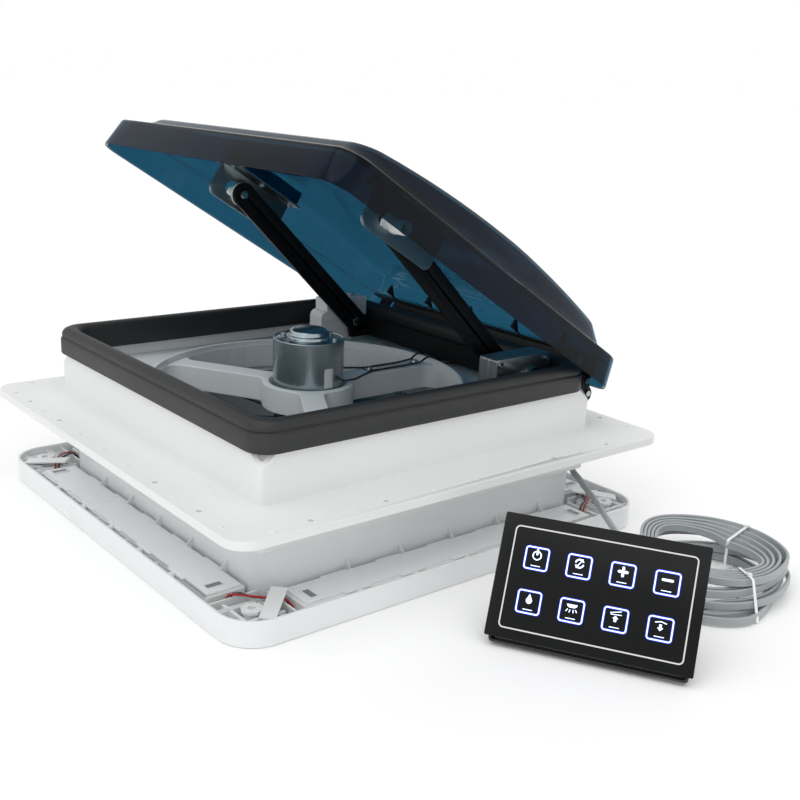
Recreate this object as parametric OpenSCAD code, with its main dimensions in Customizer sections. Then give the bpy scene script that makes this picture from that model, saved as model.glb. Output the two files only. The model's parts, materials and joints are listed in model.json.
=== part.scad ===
// Electric roof vent: roof frame, tilting lid with its lift, extractor fan,
// ceiling trim with light boxes, touch panel and its flat cable.
// Millimetres, +Z up. Origin: middle of the ceiling trim's lower face.
// The lid's hinge is on the +Y side and it opens towards -Y.

/* [Roof frame] */
// Outer side of the square collar
collar_w = 390; // [384:1:394]
// Outer side of the roof flange
flange_w = 499; // [480:1:510]
// Height of the flange's lower face above the trim's lower face
flange_z = 89.5; // [86:0.5:92]
// Height of the collar's upper edge
collar_z = 141; // [140:0.5:142]

/* [Lid] */
// Width of the lid across the hinge line
lid_w = 420; // [416:1:424]
// Length of the lid from its hinge edge to its front edge
lid_len = 416.5; // [414:0.5:418]
// Angle that the lid is drawn open
lid_open = 31.6; // [20:0.1:32]
// Depth of the lid's skirt
skirt_h = 31.6; // [30:0.2:33]
// Height of the crown above the rim at its highest
crown_h = 66.8; // [62:0.2:70]
// Wall of the lid
lid_t = 3; // [2.5:0.5:4]

/* [Fan] */
// Radius of the round opening in the shroud
shroud_r = 156.5; // [154:0.5:160]
// Radius of the motor can
motor_r = 35.9; // [34:0.1:37]
// Number of fan blades
blades = 8; // [5:1:9]

/* [Ceiling trim] */
// Outer side of the trim
trim_w = 482; // [478:1:486]
// Height of the trim's outer wall
trim_h = 23; // [18:1:26]

/* [Touch panel] */
// Width of the panel's glass
panel_w = 163.4; // [160:0.2:166]
// Height of the panel's glass
panel_h = 99.8; // [98:0.2:102]
// Angle between the leaning panel and the surface it stands on
panel_tilt = 61.8; // [58:0.2:64]

/* [Hidden] */
$fn = 64;
fine = 96;
gap = 0.3;

// roof frame
collar_t = 4;
collar_low_z = 56;
flange_t = 7.8;
flange_hole_x = 238;
flange_hole_near = 100;
flange_hole_far = 175;

// gasket: it overhangs the collar on three sides and stops short of the hinge
seal_out = 200;
seal_rear = 187;
seal_in = 184;
seal_top = 168.5;

// hinge and lid, drawn closed and then turned open
hinge_y = 204;
hinge_z = 131;
rim_z = 140.2;
lid_rear = 209.2;
lid_mid = lid_rear - lid_len / 2;
lid_r = 24;
draft = 3.4;
crown_inset = 16;
crown_round = 10;
hinge_x = [-170, 170];
leaf_half = 9.6;
strip_half = 154;
strip_t = 1.6;

// lift: the arms turn about pivot and their rollers run in the bracket slots
pivot_y = 137;
pivot_z = 153;
arm_len = 217;
arm_open = 44.6;
arm_x = 121;
arm_t = 5;
arm_w = 25.4;
roller_r = 7;
roller_y = pivot_y - arm_len * cos(arm_open);
roller_z = pivot_z + arm_len * sin(arm_open);
slot_z = 163.48;
slot_gap = 0.45;
slot_front = -88.7;
slot_back = -73.5;

// brackets under the lid
plate_x = 130;
plate_t = 2;
plate_front = -112.8;
plate_back = -16.8;
plate_low = 146.7;
plate_top = 184.2;
bracket_screw_y = [-106, -65, -24];

// shroud, spider, motor and fan
fan_y = -15.5;
shroud_z = 126;
spider_z = 105;
spoke_top = 131;
spoke_w = 24;
hub_r = 47;
hub_hole = 39.5;
can_top = 176.6;
can_low = 106;
rotor_top = 98;
rotor_low = 72;

// gearbox of the lift
box_x = 140;
box_w = 25;
box_front = 90;
box_back = 164;
box_low = 129;
box_top = 176;
wheel_r = 14.9;
worm_r = 4.7;
worm_y = 157;
worm_x = 152.5;
shaft_r = 5;

// trim
duct_half = 190;
duct_t = 3;
duct_top = 86;
boss_at = 212;
light_at = 213;
light_len = 348;
trim_r = 34;

// touch panel: its own frame has X along its width, Y up its face and Z backwards
panel_x = 332.5;
panel_y = -71;
panel_z = 9;
panel_turn = 30.5;
bezel_drop = 4.4;
keys = [for (row = [0, 1], col = [0:3]) [29.5 + col * 33.5, 36.5 + row * 30]];

// flat cable: from the collar's corner over the trim to the hank, and on to the panel
cable_half_w = 3.7;
cable_half_t = 1.5;
exit_at = 187;
lead_route = [
    [187, 187, 56], [188, 187, 53], [190, 187, 50], [194, 187, 48], [200, 186, 46],
    [209, 182, 43], [220, 178, 40], [232, 173, 38], [244, 168, 34], [254, 164, 30],
    [265, 160.5, 25.5], [276, 157, 21], [287, 153.5, 16.5], [298, 149.5, 12], [309, 144.5, 8.2],
    [318, 139.5, 5.9], [327, 134, 5.4]
];
coil_x = 370;
coil_y = 183;
coil_turn = 140;
coil_end_r = 66;
coil_straight = 36;
coil_wall = 27;
coil_low = 1.4;
coil_h = 32;
tie_far = -44;
tie_near = -161;
tail_route = [
    [361, 113, 28], [369, 106.5, 27.5], [377, 99.5, 25.5], [385, 90, 22.5], [390.5, 79, 19],
    [393, 68, 16], [393.5, 57, 14], [393, 47, 13], [393, 38, 14], [394, 29.5, 17], [396, 22, 21]
];

// a square with round corners, made of true arcs
module round_square(w, d, r) {
    square([w - 2 * r, d], center = true);
    square([w, d - 2 * r], center = true);
    for (x = [-1, 1], y = [-1, 1]) translate([x * (w / 2 - r), y * (d / 2 - r)]) circle(r);
}

module round_block(w, d, r, h) {
    linear_extrude(height = h) round_square(w, d, r);
}

// a rod along X, starting at x
module rod_x(x, y, z, r, len) {
    translate([x, y, z]) rotate([0, 90, 0]) cylinder(r = r, h = len, $fn = fine);
}

// a pan-head screw with its head's lower face at the origin, head up
module pan_screw(head_r, head_h, shank_r, shank_l) {
    difference() {
        cylinder(r = head_r, h = head_h, $fn = 32);
        translate([0, 0, head_h / 2]) cube([head_r * 1.3, 0.9, head_h + 0.2], center = true);
        translate([0, 0, head_h / 2]) cube([0.9, head_r * 1.3, head_h + 0.2], center = true);
    }
    translate([0, 0, -shank_l]) cylinder(r = shank_r, h = shank_l, $fn = 24);
}

// puts parts drawn on the closed lid where the open lid holds them
module on_lid() {
    translate([0, hinge_y, hinge_z]) rotate([-lid_open, 0, 0])
        translate([0, -hinge_y, -hinge_z]) children();
}

// ---- roof frame ----

module corner_cuts() {
    for (a = [0:90:270]) rotate([0, 0, a + 45])
        translate([collar_w / 2 * sqrt(2), 0, collar_z - 14])
            rotate([0, -40, 0]) translate([0, -40, 0]) cube([40, 80, 60]);
}

module roof_frame() {
    color("whitesmoke") difference() {
        union() {
            difference() {
                translate([0, 0, collar_low_z])
                    round_block(collar_w, collar_w, 5, collar_z - collar_low_z);
                corner_cuts();
            }
            translate([0, 0, flange_z]) round_block(flange_w, flange_w, 22, flange_t);
        }
        translate([0, 0, collar_low_z - 1])
            round_block(collar_w - 2 * collar_t, collar_w - 2 * collar_t, 2, 100);
        for (s = [-1, 1], t = [-1, 1], d = [flange_hole_near, flange_hole_far]) {
            translate([s * flange_hole_x, t * d, flange_z - 1]) cylinder(r = 2.2, h = 20);
            translate([t * d, s * flange_hole_x, flange_z - 1]) cylinder(r = 2.2, h = 20);
        }
    }
}

module lid_seal() {
    depth = seal_out + seal_rear;
    inner = seal_in + seal_rear - 16;
    color("dimgray") difference() {
        union() {
            translate([0, (seal_rear - seal_out) / 2, collar_z])
                round_block(2 * seal_out, depth, 20, 17);
            translate([0, (seal_rear - seal_out) / 2, collar_z + 17])
                round_block(2 * seal_out - 2, depth - 2, 19, 4);
            translate([0, (seal_rear - seal_out) / 2, collar_z + 21])
                round_block(2 * seal_out - 5, depth - 5, 17.5, 4);
            translate([0, (seal_rear - seal_out) / 2, collar_z + 25])
                round_block(2 * seal_out - 10, depth - 10, 15, seal_top - collar_z - 25);
        }
        translate([0, (seal_rear - 16 - seal_in) / 2, collar_z - 1])
            round_block(2 * seal_in, inner, 8, 40);
    }
}

// ---- shroud, spider, motor, fan ----

module fan_shroud() {
    half = collar_w / 2 - collar_t;
    color("gainsboro") difference() {
        union() {
            translate([0, 0, shroud_z]) round_block(2 * half, 2 * half, 2, 3);
            translate([0, fan_y, 100]) cylinder(r = shroud_r + 3, h = 37, $fn = fine);
        }
        translate([0, fan_y, 99]) cylinder(r = shroud_r, h = 40, $fn = fine);
        translate([worm_x, worm_y, 99]) cylinder(r = worm_r + 1, h = 40);
    }
}

module spoke_outline() {
    offset(r = -12) offset(r = 12) {
        circle(r = hub_r);
        for (a = [90, 210, 330]) rotate(a) translate([0, -spoke_w / 2])
            square([shroud_r + 0.5, spoke_w]);
        difference() {
            circle(r = shroud_r + 0.5);
            circle(r = shroud_r - 1);
        }
    }
}

module motor_spider() {
    color("gainsboro") translate([0, fan_y, 0]) difference() {
        union() {
            translate([0, 0, spider_z]) linear_extrude(height = spoke_top - spider_z)
                intersection() {
                    spoke_outline($fn = 48);
                    circle(r = shroud_r, $fn = fine);
                }
        }
        translate([0, 0, spider_z + 3]) cylinder(r = hub_hole, h = 40, $fn = fine);
        translate([0, 0, spider_z - 1]) cylinder(r = 10, h = 40);
    }
}

module motor_can() {
    color("silver") translate([0, fan_y, 0]) difference() {
        translate([0, 0, spider_z + 3]) cylinder(r = motor_r, h = can_top - spider_z - 3, $fn = fine);
        translate([0, 0, can_top - 2.5]) cylinder(r = motor_r - 1.6, h = 5, $fn = fine);
        translate([0, 0, spider_z]) cylinder(r = 3.05, h = 10);
    }
}

module motor_end_bell() {
    color("lightsteelblue") translate([0, fan_y, can_top - 2.5]) {
        cylinder(r = motor_r - 1.6, h = 1.5, $fn = fine);
        translate([0, 0, 1.5]) cylinder(r = 21.5, h = 3.5, $fn = fine);
        translate([0, 0, 5]) cylinder(r1 = 19.5, r2 = 18.6, h = 5, $fn = fine);
        translate([0, 0, 10]) cylinder(r1 = 18.6, r2 = 15, h = 1.4, $fn = fine);
    }
}

module end_bell_screws() {
    color("silver") for (a = [35, 95, 215, 275])
        translate([0, fan_y, can_top - 1]) rotate([0, 0, a]) translate([28, 0, 0])
            pan_screw(3.2, 2.4, 1.4, 1.2);
}

module spider_screws() {
    color("silver") translate([0, fan_y, spoke_top]) {
        translate([0, 78, 0]) cylinder(r = 5.5, h = 0.8, $fn = 32);
        translate([0, 141.5, 0]) cylinder(r = 5.5, h = 0.8, $fn = 32);
        translate([0, 78, 0.8]) pan_screw(3.8, 2.8, 1.5, 8);
        translate([0, 141.5, 0.8]) pan_screw(3.8, 2.8, 1.5, 8);
    }
}

function unit3(v) = v / norm(v);

// direction of a route at point i
function heading(p, i) = unit3(p[min(i + 1, len(p) - 1)] - p[max(i - 1, 0)]);
// a level direction across the heading
function across(h) = let (c = cross(h, [0, 0, 1])) norm(c) > 0.05 ? unit3(c) : [1, 0, 0];

// a closed tube swept along route p, w wide to each side and t thick to each side
module tube(p, w, t, sides) {
    n = len(p);
    rings = [for (i = [0:n - 1]) let (h = heading(p, i), u = across(h), v = cross(h, u))
        for (k = [0:sides - 1]) p[i] + w * cos(k * 360 / sides) * u + t * sin(k * 360 / sides) * v];
    walls = [for (i = [0:n - 2], k = [0:sides - 1]) let (m = (k + 1) % sides)
        [i * sides + k, i * sides + m, (i + 1) * sides + m, (i + 1) * sides + k]];
    first = [for (k = [sides - 1:-1:0]) k];
    last = [for (k = [0:sides - 1]) (n - 1) * sides + k];
    polyhedron(rings, concat(walls, [first, last]), convexity = 10);
}

module motor_leads() {
    color("dimgray") {
        tube([[35, fan_y + 10, 142], [38, fan_y + 17, 137], [30, fan_y + 38, 134],
            [16, fan_y + 60, 132.8], [7, fan_y + 78, 132.4], [7, fan_y + 118, 132.4],
            [8, fan_y + 143, 133.5], [9, fan_y + 152, 138.4], [10, fan_y + 160, 138.6],
            [12, fan_y + 166, 134], [16, fan_y + 172, 130.8], [26, fan_y + 188, 130.4],
            [40, fan_y + 200, 130.4]], 1.1, 1.1, 8);
        tube([[-28, fan_y + 24, 142], [-27, fan_y + 32, 137], [-16, fan_y + 54, 133.6],
            [-8, fan_y + 76, 132.4], [-7, fan_y + 118, 132.4],
            [-8, fan_y + 143, 133.5], [-9, fan_y + 152, 138.4], [-10, fan_y + 160, 138.6],
            [-12, fan_y + 166, 134], [-10, fan_y + 172, 130.8], [6, fan_y + 190, 130.4],
            [20, fan_y + 203, 130.4]], 1.1, 1.1, 8);
    }
}

module motor_shaft() {
    color("silver") translate([0, fan_y, rotor_low - 6]) cylinder(r = 3, h = spider_z + 8 - rotor_low + 6);
}

module fan_rotor() {
    color("teal", 0.8) translate([0, fan_y, 0]) difference() {
        union() {
            translate([0, 0, rotor_low]) cylinder(r = 34, h = rotor_top - rotor_low, $fn = fine);
            for (k = [0:blades - 1]) rotate([0, 0, k * 360 / blades])
                translate([90, 0, (rotor_top + rotor_low) / 2]) rotate([24, 0, 0])
                    cube([120, 54, 2.4], center = true);
        }
        translate([0, 0, rotor_low - 1]) cylinder(r = 3.05, h = 40);
        translate([0, 0, rotor_low - 1]) difference() {
            cylinder(r = 31, h = 22, $fn = fine);
            cylinder(r = 8, h = 22);
        }
    }
}

module rotor_nut() {
    color("silver") translate([0, fan_y, rotor_low - 5]) difference() {
        cylinder(r = 6, h = 5, $fn = 6);
        translate([0, 0, -1]) cylinder(r = 3, h = 10);
    }
}

// ---- lift drive ----

module box_outline() {
    translate([(box_front + box_back) / 2, (box_low + box_top) / 2])
        round_square(box_back - box_front, box_top - box_low, 3);
}

// a slab of the gearbox outline, between two X positions
module box_slab(x, t) {
    translate([x, 0, 0]) rotate([90, 0, 90]) linear_extrude(height = t) box_outline();
}

module worm_space() {
    translate([worm_x, worm_y, box_low - 1]) cylinder(r = worm_r + 0.5, h = 40);
}

module gearbox_body() {
    color("silver") difference() {
        box_slab(box_x, 9);
        rod_x(box_x - 1, pivot_y, pivot_z, shaft_r + 0.06, 20);
        rod_x(box_x + 7, pivot_y, pivot_z, wheel_r + 0.6, 20);
        worm_space();
    }
}

module gearbox_plate() {
    color("darkgray") difference() {
        box_slab(box_x + 9, 6);
        rod_x(box_x, pivot_y, pivot_z, wheel_r + 0.6, 30);
        worm_space();
    }
}

module gearbox_cover() {
    color("silver") difference() {
        box_slab(box_x + 15, box_w - 15);
        rod_x(box_x + 14, pivot_y, pivot_z, wheel_r + 0.6, 3);
        rod_x(box_x + 14, pivot_y, pivot_z, 8, 20);
        worm_space();
    }
}

module gearbox_screws() {
    color("silver") for (y = [box_front + 5, box_back - 5], z = [box_low + 5, box_top - 5.5])
        translate([box_x + box_w, y, z]) rotate([0, 90, 0]) pan_screw(3.2, 2, 1.6, 6);
}

module shaft_bush() {
    color("darkgray") difference() {
        union() {
            rod_x(box_x + 17, pivot_y, pivot_z, 8, 8);
            rod_x(box_x + box_w, pivot_y, pivot_z, 11.5, 2);
            rod_x(box_x + box_w + 2, pivot_y, pivot_z, 10.2, 2.5);
            rod_x(box_x + box_w + 4.5, pivot_y, pivot_z, 11, 1.2);
        }
        rod_x(box_x + 16, pivot_y, pivot_z, shaft_r + 0.06, 20);
    }
}

module worm_wheel() {
    teeth = 24;
    color("gold") difference() {
        union() {
            rod_x(box_x + 7.4, pivot_y, pivot_z, wheel_r - 2.2, 9.2);
            for (k = [0:teeth - 1]) translate([box_x + 7.4, pivot_y, pivot_z])
                rotate([k * 360 / teeth, 0, 0]) translate([0, wheel_r - 3, -0.9])
                    cube([9.2, 2.95, 1.8]);
        }
        rod_x(box_x, pivot_y, pivot_z, shaft_r, 30);
    }
}

module worm() {
    color("dimgray") translate([worm_x, worm_y, 0]) {
        translate([0, 0, box_low - 12]) cylinder(r = 2, h = 16);
        translate([0, 0, box_low + 4]) cylinder(r = worm_r - 1.6, h = 34);
        for (k = [0:6]) translate([0, 0, box_low + 8 + 4 * k])
            cylinder(r1 = worm_r - 1.6, r2 = worm_r, h = 1.2);
        for (k = [0:6]) translate([0, 0, box_low + 9.2 + 4 * k])
            cylinder(r1 = worm_r, r2 = worm_r - 1.6, h = 1.2);
    }
}

module lift_motor() {
    color("dimgray") translate([worm_x, worm_y, 0]) difference() {
        union() {
            translate([0, 0, 66]) cylinder(r = 13.5, h = 50);
            translate([0, 0, 116]) round_block(24, 14, 3, shroud_z - 116);
        }
        translate([0, 0, 112]) cylinder(r = 2.06, h = 30);
    }
}

module drive_shaft() {
    color("silver") rod_x(arm_x, pivot_y, pivot_z, shaft_r, box_x + box_w + 5 - arm_x);
}

// one arm in the YZ plane, turned up from the pivot, with its foot on the crossbar
module arm_outline() {
    translate([pivot_y, pivot_z]) circle(r = arm_w / 2);
    translate([roller_y, roller_z]) circle(r = arm_w / 2);
    translate([pivot_y, pivot_z]) rotate(180 - arm_open) translate([0, -arm_w / 2]) square([arm_len, arm_w]);
    polygon([[pivot_y - 11, pivot_z - 6], [129.5, 134.5], [164, 134.5], [164, 139],
        [157, 156], [pivot_y + 8, pivot_z + 9]]);
}

module arm_plate(x) {
    color([0.08, 0.08, 0.09]) difference() {
        translate([x, 0, 0]) rotate([90, 0, 90]) linear_extrude(height = arm_t) arm_outline();
        rod_x(x - 1, pivot_y, pivot_z, shaft_r, arm_t + 2);
        rod_x(x - 1, roller_y, roller_z, 4.7, arm_t + 2);
    }
}

module lift_arm_near() {
    arm_plate(arm_x);
}

module lift_arm_far() {
    arm_plate(-arm_x - arm_t);
}

module arm_crossbar() {
    color([0.08, 0.08, 0.09]) translate([-arm_x, 0, 0]) {
        translate([0, 155, 134.5]) cube([2 * arm_x, 3, 22]);
        translate([0, 158, 134.5]) cube([2 * arm_x, 6, 3]);
    }
}

module roller_pins() {
    color("darkgray") {
        rod_x(arm_x, roller_y, roller_z, 4.7, 20);
        rod_x(-arm_x - 20, roller_y, roller_z, 4.7, 20);
    }
}

// the roller's flange runs between the arm and the bracket, its barrel in the slot
module roller(s) {
    color("white") difference() {
        union() {
            rod_x(min(s * 126.4, s * 129.6), roller_y, roller_z, 12.5, 3.2);
            rod_x(min(s * 126.4, s * 148), roller_y, roller_z, roller_r, 21.6);
        }
        rod_x(min(s * 120, s * 150), roller_y, roller_z, 4.76, 30);
    }
}

module roller_near() {
    roller(1);
}

module roller_far() {
    roller(-1);
}

module support_block() {
    color("whitesmoke") difference() {
        union() {
            translate([-160, 104, 129]) cube([24, 58, 50]);
            translate([-160, 96, 129]) cube([24, 8, 28]);
            translate([-160, 104, 157]) rotate([0, 90, 0]) cylinder(r = 8, h = 24);
        }
        rod_x(-161, pivot_y, pivot_z, shaft_r + 0.06, 40);
    }
}

module support_screw() {
    color("dimgray") translate([-148, 148, 179]) pan_screw(4, 2.6, 1.8, 0.5);
}

module pivot_bolt() {
    color("silver") {
        rod_x(-161, pivot_y, pivot_z, shaft_r, 161 - arm_x);
        rod_x(-164.5, pivot_y, pivot_z, 8, 3.5);
    }
}

// ---- lid ----

// crown height above the rim at distance s from the hinge edge
function crown_at(s) = crown_h - 16.5 * pow(abs(s - 180) / 206, 2.1) - (s < 180 ? 4.5 * (180 - s) / 145 : 0);

// solid under the lid's outer faces, moved in by t
module lid_solid(t) {
    hull() {
        translate([0, lid_mid, rim_z - 0.1]) round_block(lid_w - 2 * t, lid_len - 2 * t, lid_r - t, 0.1, $fn = 32);
        translate([0, lid_mid, rim_z + skirt_h - t - 0.5])
            round_block(lid_w - 2 * draft - 2 * t, lid_len - 2 * draft - 2 * t, lid_r - draft - t, 0.5, $fn = 32);
    }
}

module crown_solid(t) {
    hull() {
        translate([0, lid_mid, rim_z + skirt_h - t - 1])
            round_block(lid_w - 2 * crown_inset - 2 * t, lid_len - 2 * crown_inset - 2 * t, 22 - t, 1, $fn = 32);
        for (k = [0:6], x = [-1, 1]) let (s = 44 + k * (lid_len - 86) / 6)
            translate([x * (lid_w / 2 - 38), lid_rear - s, rim_z + crown_at(s) - crown_round])
                sphere(r = crown_round - t, $fn = 32);
    }
}

module lid_shell() {
    color("darkslateblue", 0.55) on_lid() {
        difference() {
            union() {
                lid_solid(0);
                crown_solid(0);
            }
            translate([0, 0, -0.05]) lid_solid(lid_t);
            crown_solid(lid_t);
        }
        for (x = [-1, 1]) intersection() {
            translate([x * 120 - 10, plate_front + 4, plate_top]) cube([20, 88, 40]);
            crown_solid(1);
        }
    }
}

module bracket(s) {
    color("slategray") on_lid() difference() {
        union() {
            translate([s > 0 ? plate_x : -plate_x - plate_t, 0, 0]) rotate([90, 0, 90])
                linear_extrude(height = plate_t) union() {
                    translate([(plate_front + plate_back) / 2, (plate_low + plate_top) / 2])
                        round_square(plate_back - plate_front, plate_top - plate_low, 8);
                    translate([plate_front, plate_top - 14]) square([plate_back - plate_front, 14]);
                }
            translate([s > 0 ? plate_x - 24 : -plate_x - plate_t, plate_front, plate_top - plate_t])
                cube([24 + plate_t, plate_back - plate_front, plate_t]);
        }
        translate([s > 0 ? plate_x - 1 : -plate_x - plate_t - 1, 0, 0]) {
            rod_x(0, slot_front, slot_z, roller_r + slot_gap, plate_t + 2);
            rod_x(0, slot_back, slot_z, roller_r + slot_gap, plate_t + 2);
            translate([0, slot_front, slot_z - roller_r - slot_gap])
                cube([plate_t + 2, slot_back - slot_front, 2 * (roller_r + slot_gap)]);
        }
        for (y = bracket_screw_y) translate([s * 118, y, plate_top - 5]) cylinder(r = 2, h = 10);
    }
}

module bracket_near() {
    bracket(1);
}

module bracket_far() {
    bracket(-1);
}

module bracket_screws() {
    color("silver") on_lid() for (s = [-1, 1], y = bracket_screw_y)
        translate([s * 118, y, plate_top - plate_t]) rotate([180, 0, 0]) pan_screw(3.6, 2.4, 1.9, 7);
}

// black strip on the lid's hinge edge, with fins and a barrel at each hinge
module hinge_strip() {
    top = rim_z + skirt_h - lid_t - 0.1;
    face = lid_rear - lid_t - draft - 0.3;
    color([0.06, 0.06, 0.07]) on_lid() difference() {
        union() {
            translate([-strip_half, face - strip_t, top - 22]) cube([2 * strip_half, strip_t, 22]);
            translate([-186, 191.5, top - 2]) cube([372, face - 191.5, 2]);
            for (x = [-144:72:144]) translate([x - 1.5, 0, 0]) rotate([90, 0, 90])
                linear_extrude(height = 3) polygon([[192, top - 2], [192, top - 0.5],
                    [188, top + 0.5], [177, top + 12], [175, top + 0.6], [188.2, top + 0.4],
                    [188.2, top - 2]]);
            for (x = hinge_x) {
                rod_x(x - leaf_half, hinge_y, hinge_z, 4.6, 2 * leaf_half);
                translate([x - leaf_half, hinge_y - 3, hinge_z]) cube([2 * leaf_half, 2.2, top - hinge_z]);
            }
        }
        for (x = hinge_x) rod_x(x - 12, hinge_y, hinge_z, 2.06, 24);
    }
}

module hinge_screws() {
    color("silver") on_lid() for (x = [-108:72:108])
        translate([x, lid_rear - lid_t - draft - 0.3 - strip_t, rim_z + 15]) rotate([90, 0, 0])
            pan_screw(3, 1.8, 1.4, 1.2);
}

module hinge_ear() {
    polygon([[195, 121], [195, 152], [201, 152], [203.5, 147], [206.8, 137.5], [209.5, 134],
        [210.6, 131], [209, 125], [204, 122]]);
}

module hinge_brackets() {
    color([0.06, 0.06, 0.07]) difference() {
        for (x = hinge_x) {
            for (e = [x - 14, x + 10]) translate([e, 0, 0]) rotate([90, 0, 90])
                linear_extrude(height = 4) hinge_ear();
            translate([x - 14, 195, 118]) cube([28, 2, 20]);
        }
        for (x = hinge_x) rod_x(x - 20, hinge_y, hinge_z, 2, 40);
    }
}

module hinge_pins() {
    color("silver") for (x = hinge_x) {
        rod_x(x - 14, hinge_y, hinge_z, 2, 28);
        rod_x(x - 15.5, hinge_y, hinge_z, 3.2, 1.5);
        rod_x(x + 14, hinge_y, hinge_z, 3.2, 1.5);
    }
}

module hinge_bracket_screws() {
    color("silver") for (x = hinge_x) {
        translate([x + 14, 201, 145]) rotate([0, 90, 0]) pan_screw(2.8, 1.6, 1.2, 3);
        translate([x - 14, 201, 145]) rotate([0, -90, 0]) pan_screw(2.8, 1.6, 1.2, 3);
    }
}

// ---- ceiling trim ----

// where a rib at d from the middle meets the trim's outer wall, which is round at the corner
function rib_end(d) = let (bend = trim_w / 2 - trim_r)
    d < bend ? trim_w / 2 - 2 : bend + sqrt(pow(trim_r - 1, 2) - pow(d + 1 - bend, 2));

module trim_ring() {
    inner = 2 * (duct_half - duct_t);
    color("white") difference() {
        union() {
            difference() {
                round_block(trim_w, trim_w, trim_r, trim_h);
                translate([0, 0, 3]) round_block(trim_w - 5, trim_w - 5, trim_r - 2.5, 40);
            }
            for (a = [0:90:270]) rotate([0, 0, a]) {
                translate([boss_at, boss_at, 0]) cylinder(r = 7, h = 19);
                translate([boss_at, boss_at, 2]) rotate([0, 0, 45]) translate([-34, -1, 0]) cube([58, 2, 12]);
                for (d = [182, 196, 224]) {
                    translate([d - 1, duct_half, 2]) cube([2, rib_end(d) - duct_half, 16]);
                    translate([duct_half, d - 1, 2]) cube([rib_end(d) - duct_half, 2, 16]);
                }
                translate([duct_half + 1, -178, 2]) cube([2, 356, 9]);
            }
        }
        translate([0, 0, -1]) round_block(inner, inner, 19, 60);
        for (x = [-1, 1], y = [-1, 1]) translate([x * boss_at, y * boss_at, -1]) cylinder(r = 2.3, h = 40);
    }
}

module trim_duct() {
    inner = 2 * (duct_half - duct_t);
    color("white") translate([0, 0, 3]) difference() {
        round_block(2 * duct_half, 2 * duct_half, 22, duct_top - 3);
        translate([0, 0, -1]) round_block(inner, inner, 19, 100);
    }
}

module insect_screen() {
    half = duct_half - duct_t - 0.5;
    color([0.2, 0.2, 0.21]) {
        translate([0, 0, 1]) difference() {
            round_block(2 * half, 2 * half, 18, 5);
            translate([0, 0, -1]) round_block(2 * half - 14, 2 * half - 14, 12, 10);
        }
        translate([0, 0, 3]) round_block(2 * half - 14, 2 * half - 14, 12, 0.8);
    }
}

module light_box() {
    difference() {
        translate([light_at, 0, 3]) round_block(38, light_len, 3, 16);
        translate([light_at, 0, 2]) round_block(34, light_len - 4, 2, 15);
        for (y = [-150:60:150]) translate([light_at - 21, y - 6, 12]) cube([42, 12, 3]);
    }
}

module light_boxes() {
    color("white") for (a = [0:90:270]) rotate([0, 0, a]) light_box();
}

module light_strips() {
    color("palegoldenrod") for (a = [0:90:270]) rotate([0, 0, a])
        translate([light_at - 5, -170, 3]) cube([10, 340, 1.6]);
}

// a wire from one light box round the trim's corner to the next, held off by d
module light_lead(d) {
    for (a = [0:90:270]) rotate([0, 0, a])
        tube([[light_at + d, 173, 11], [light_at + d, 176, 14], [light_at + d - 1, 179.5, 19.6],
            [light_at + d - 4, 185, 21.5], [light_at + d - 9, 195, 22 + d / 2],
            [195, light_at + d - 9, 22 + d / 2], [185, light_at + d - 4, 21.5],
            [179.5, light_at + d - 1, 19.6], [176, light_at + d, 14], [173, light_at + d, 11]], 1, 1, 8);
}

module light_leads_red() {
    color("firebrick") light_lead(2);
}

module light_leads_black() {
    color("black") light_lead(-2);
}

// ---- touch panel ----

module on_panel() {
    translate([panel_x, panel_y, panel_z]) rotate([0, 0, panel_turn]) rotate([panel_tilt, 0, 0])
        mirror([0, 0, 1]) children();
}

module panel_glass() {
    color([0.03, 0.03, 0.035]) on_panel() translate([panel_w / 2, panel_h / 2, 0])
        round_block(panel_w, panel_h, 1.5, 3);
}

module panel_bezel() {
    color([0.08, 0.08, 0.085]) on_panel() difference() {
        translate([panel_w / 2, panel_h / 2 - bezel_drop, 3]) round_block(panel_w - 7, panel_h, 3, 7.7);
        translate([panel_w / 2, panel_h / 2 - bezel_drop, 2]) round_block(panel_w - 11, panel_h - 4, 2, 6.7);
    }
}

module panel_box() {
    color([0.08, 0.08, 0.085]) on_panel() translate([panel_w / 2, 44.2, 10.7]) difference() {
        round_block(panel_w - 40, 72, 5, 23.3);
        translate([0, 0, -1]) round_block(panel_w - 44, 68, 3, 22);
        translate([20, -10.2, 0]) cylinder(r = 5, h = 40);
    }
}

module panel_board() {
    color("darkgreen") on_panel() translate([panel_w / 2, panel_h / 2 - bezel_drop, 5.2])
        round_block(panel_w - 14, panel_h - 8, 2, 1.6);
}

module key_lights() {
    color("lightskyblue") on_panel() for (k = keys) translate([k[0], k[1], 3])
        round_block(20, 18, 2.5, 2.2);
}

// ---- flat cable ----

module cable_grommet() {
    half = collar_w / 2 - collar_t;
    color([0.1, 0.1, 0.1]) intersection() {
        translate([exit_at, exit_at, collar_low_z]) cylinder(r = 4.7, h = 9, $fn = 32);
        translate([0, 0, collar_low_z - 1]) round_block(2 * half, 2 * half, 2, 20);
    }
}

module panel_grommet() {
    color([0.1, 0.1, 0.1]) on_panel() translate([panel_w / 2 + 20, 34, 32]) {
        cylinder(r = 5, h = 4, $fn = 32);
        translate([0, 0, 2]) cylinder(r = 7, h = 2, $fn = 32);
    }
}

module cable_lead() {
    color("gray") tube(lead_route, cable_half_t, cable_half_w, 8);
}

// a long ring with round ends
module coil_outline(r) {
    square([coil_straight, 2 * r], center = true);
    for (s = [-1, 1]) translate([s * coil_straight / 2, 0]) circle(r = r);
}

module cable_coil() {
    color("gray") translate([coil_x, coil_y, coil_low]) rotate([0, 0, coil_turn])
        linear_extrude(height = coil_h) difference() {
            coil_outline(coil_end_r);
            coil_outline(coil_end_r - coil_wall);
        }
}

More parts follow.
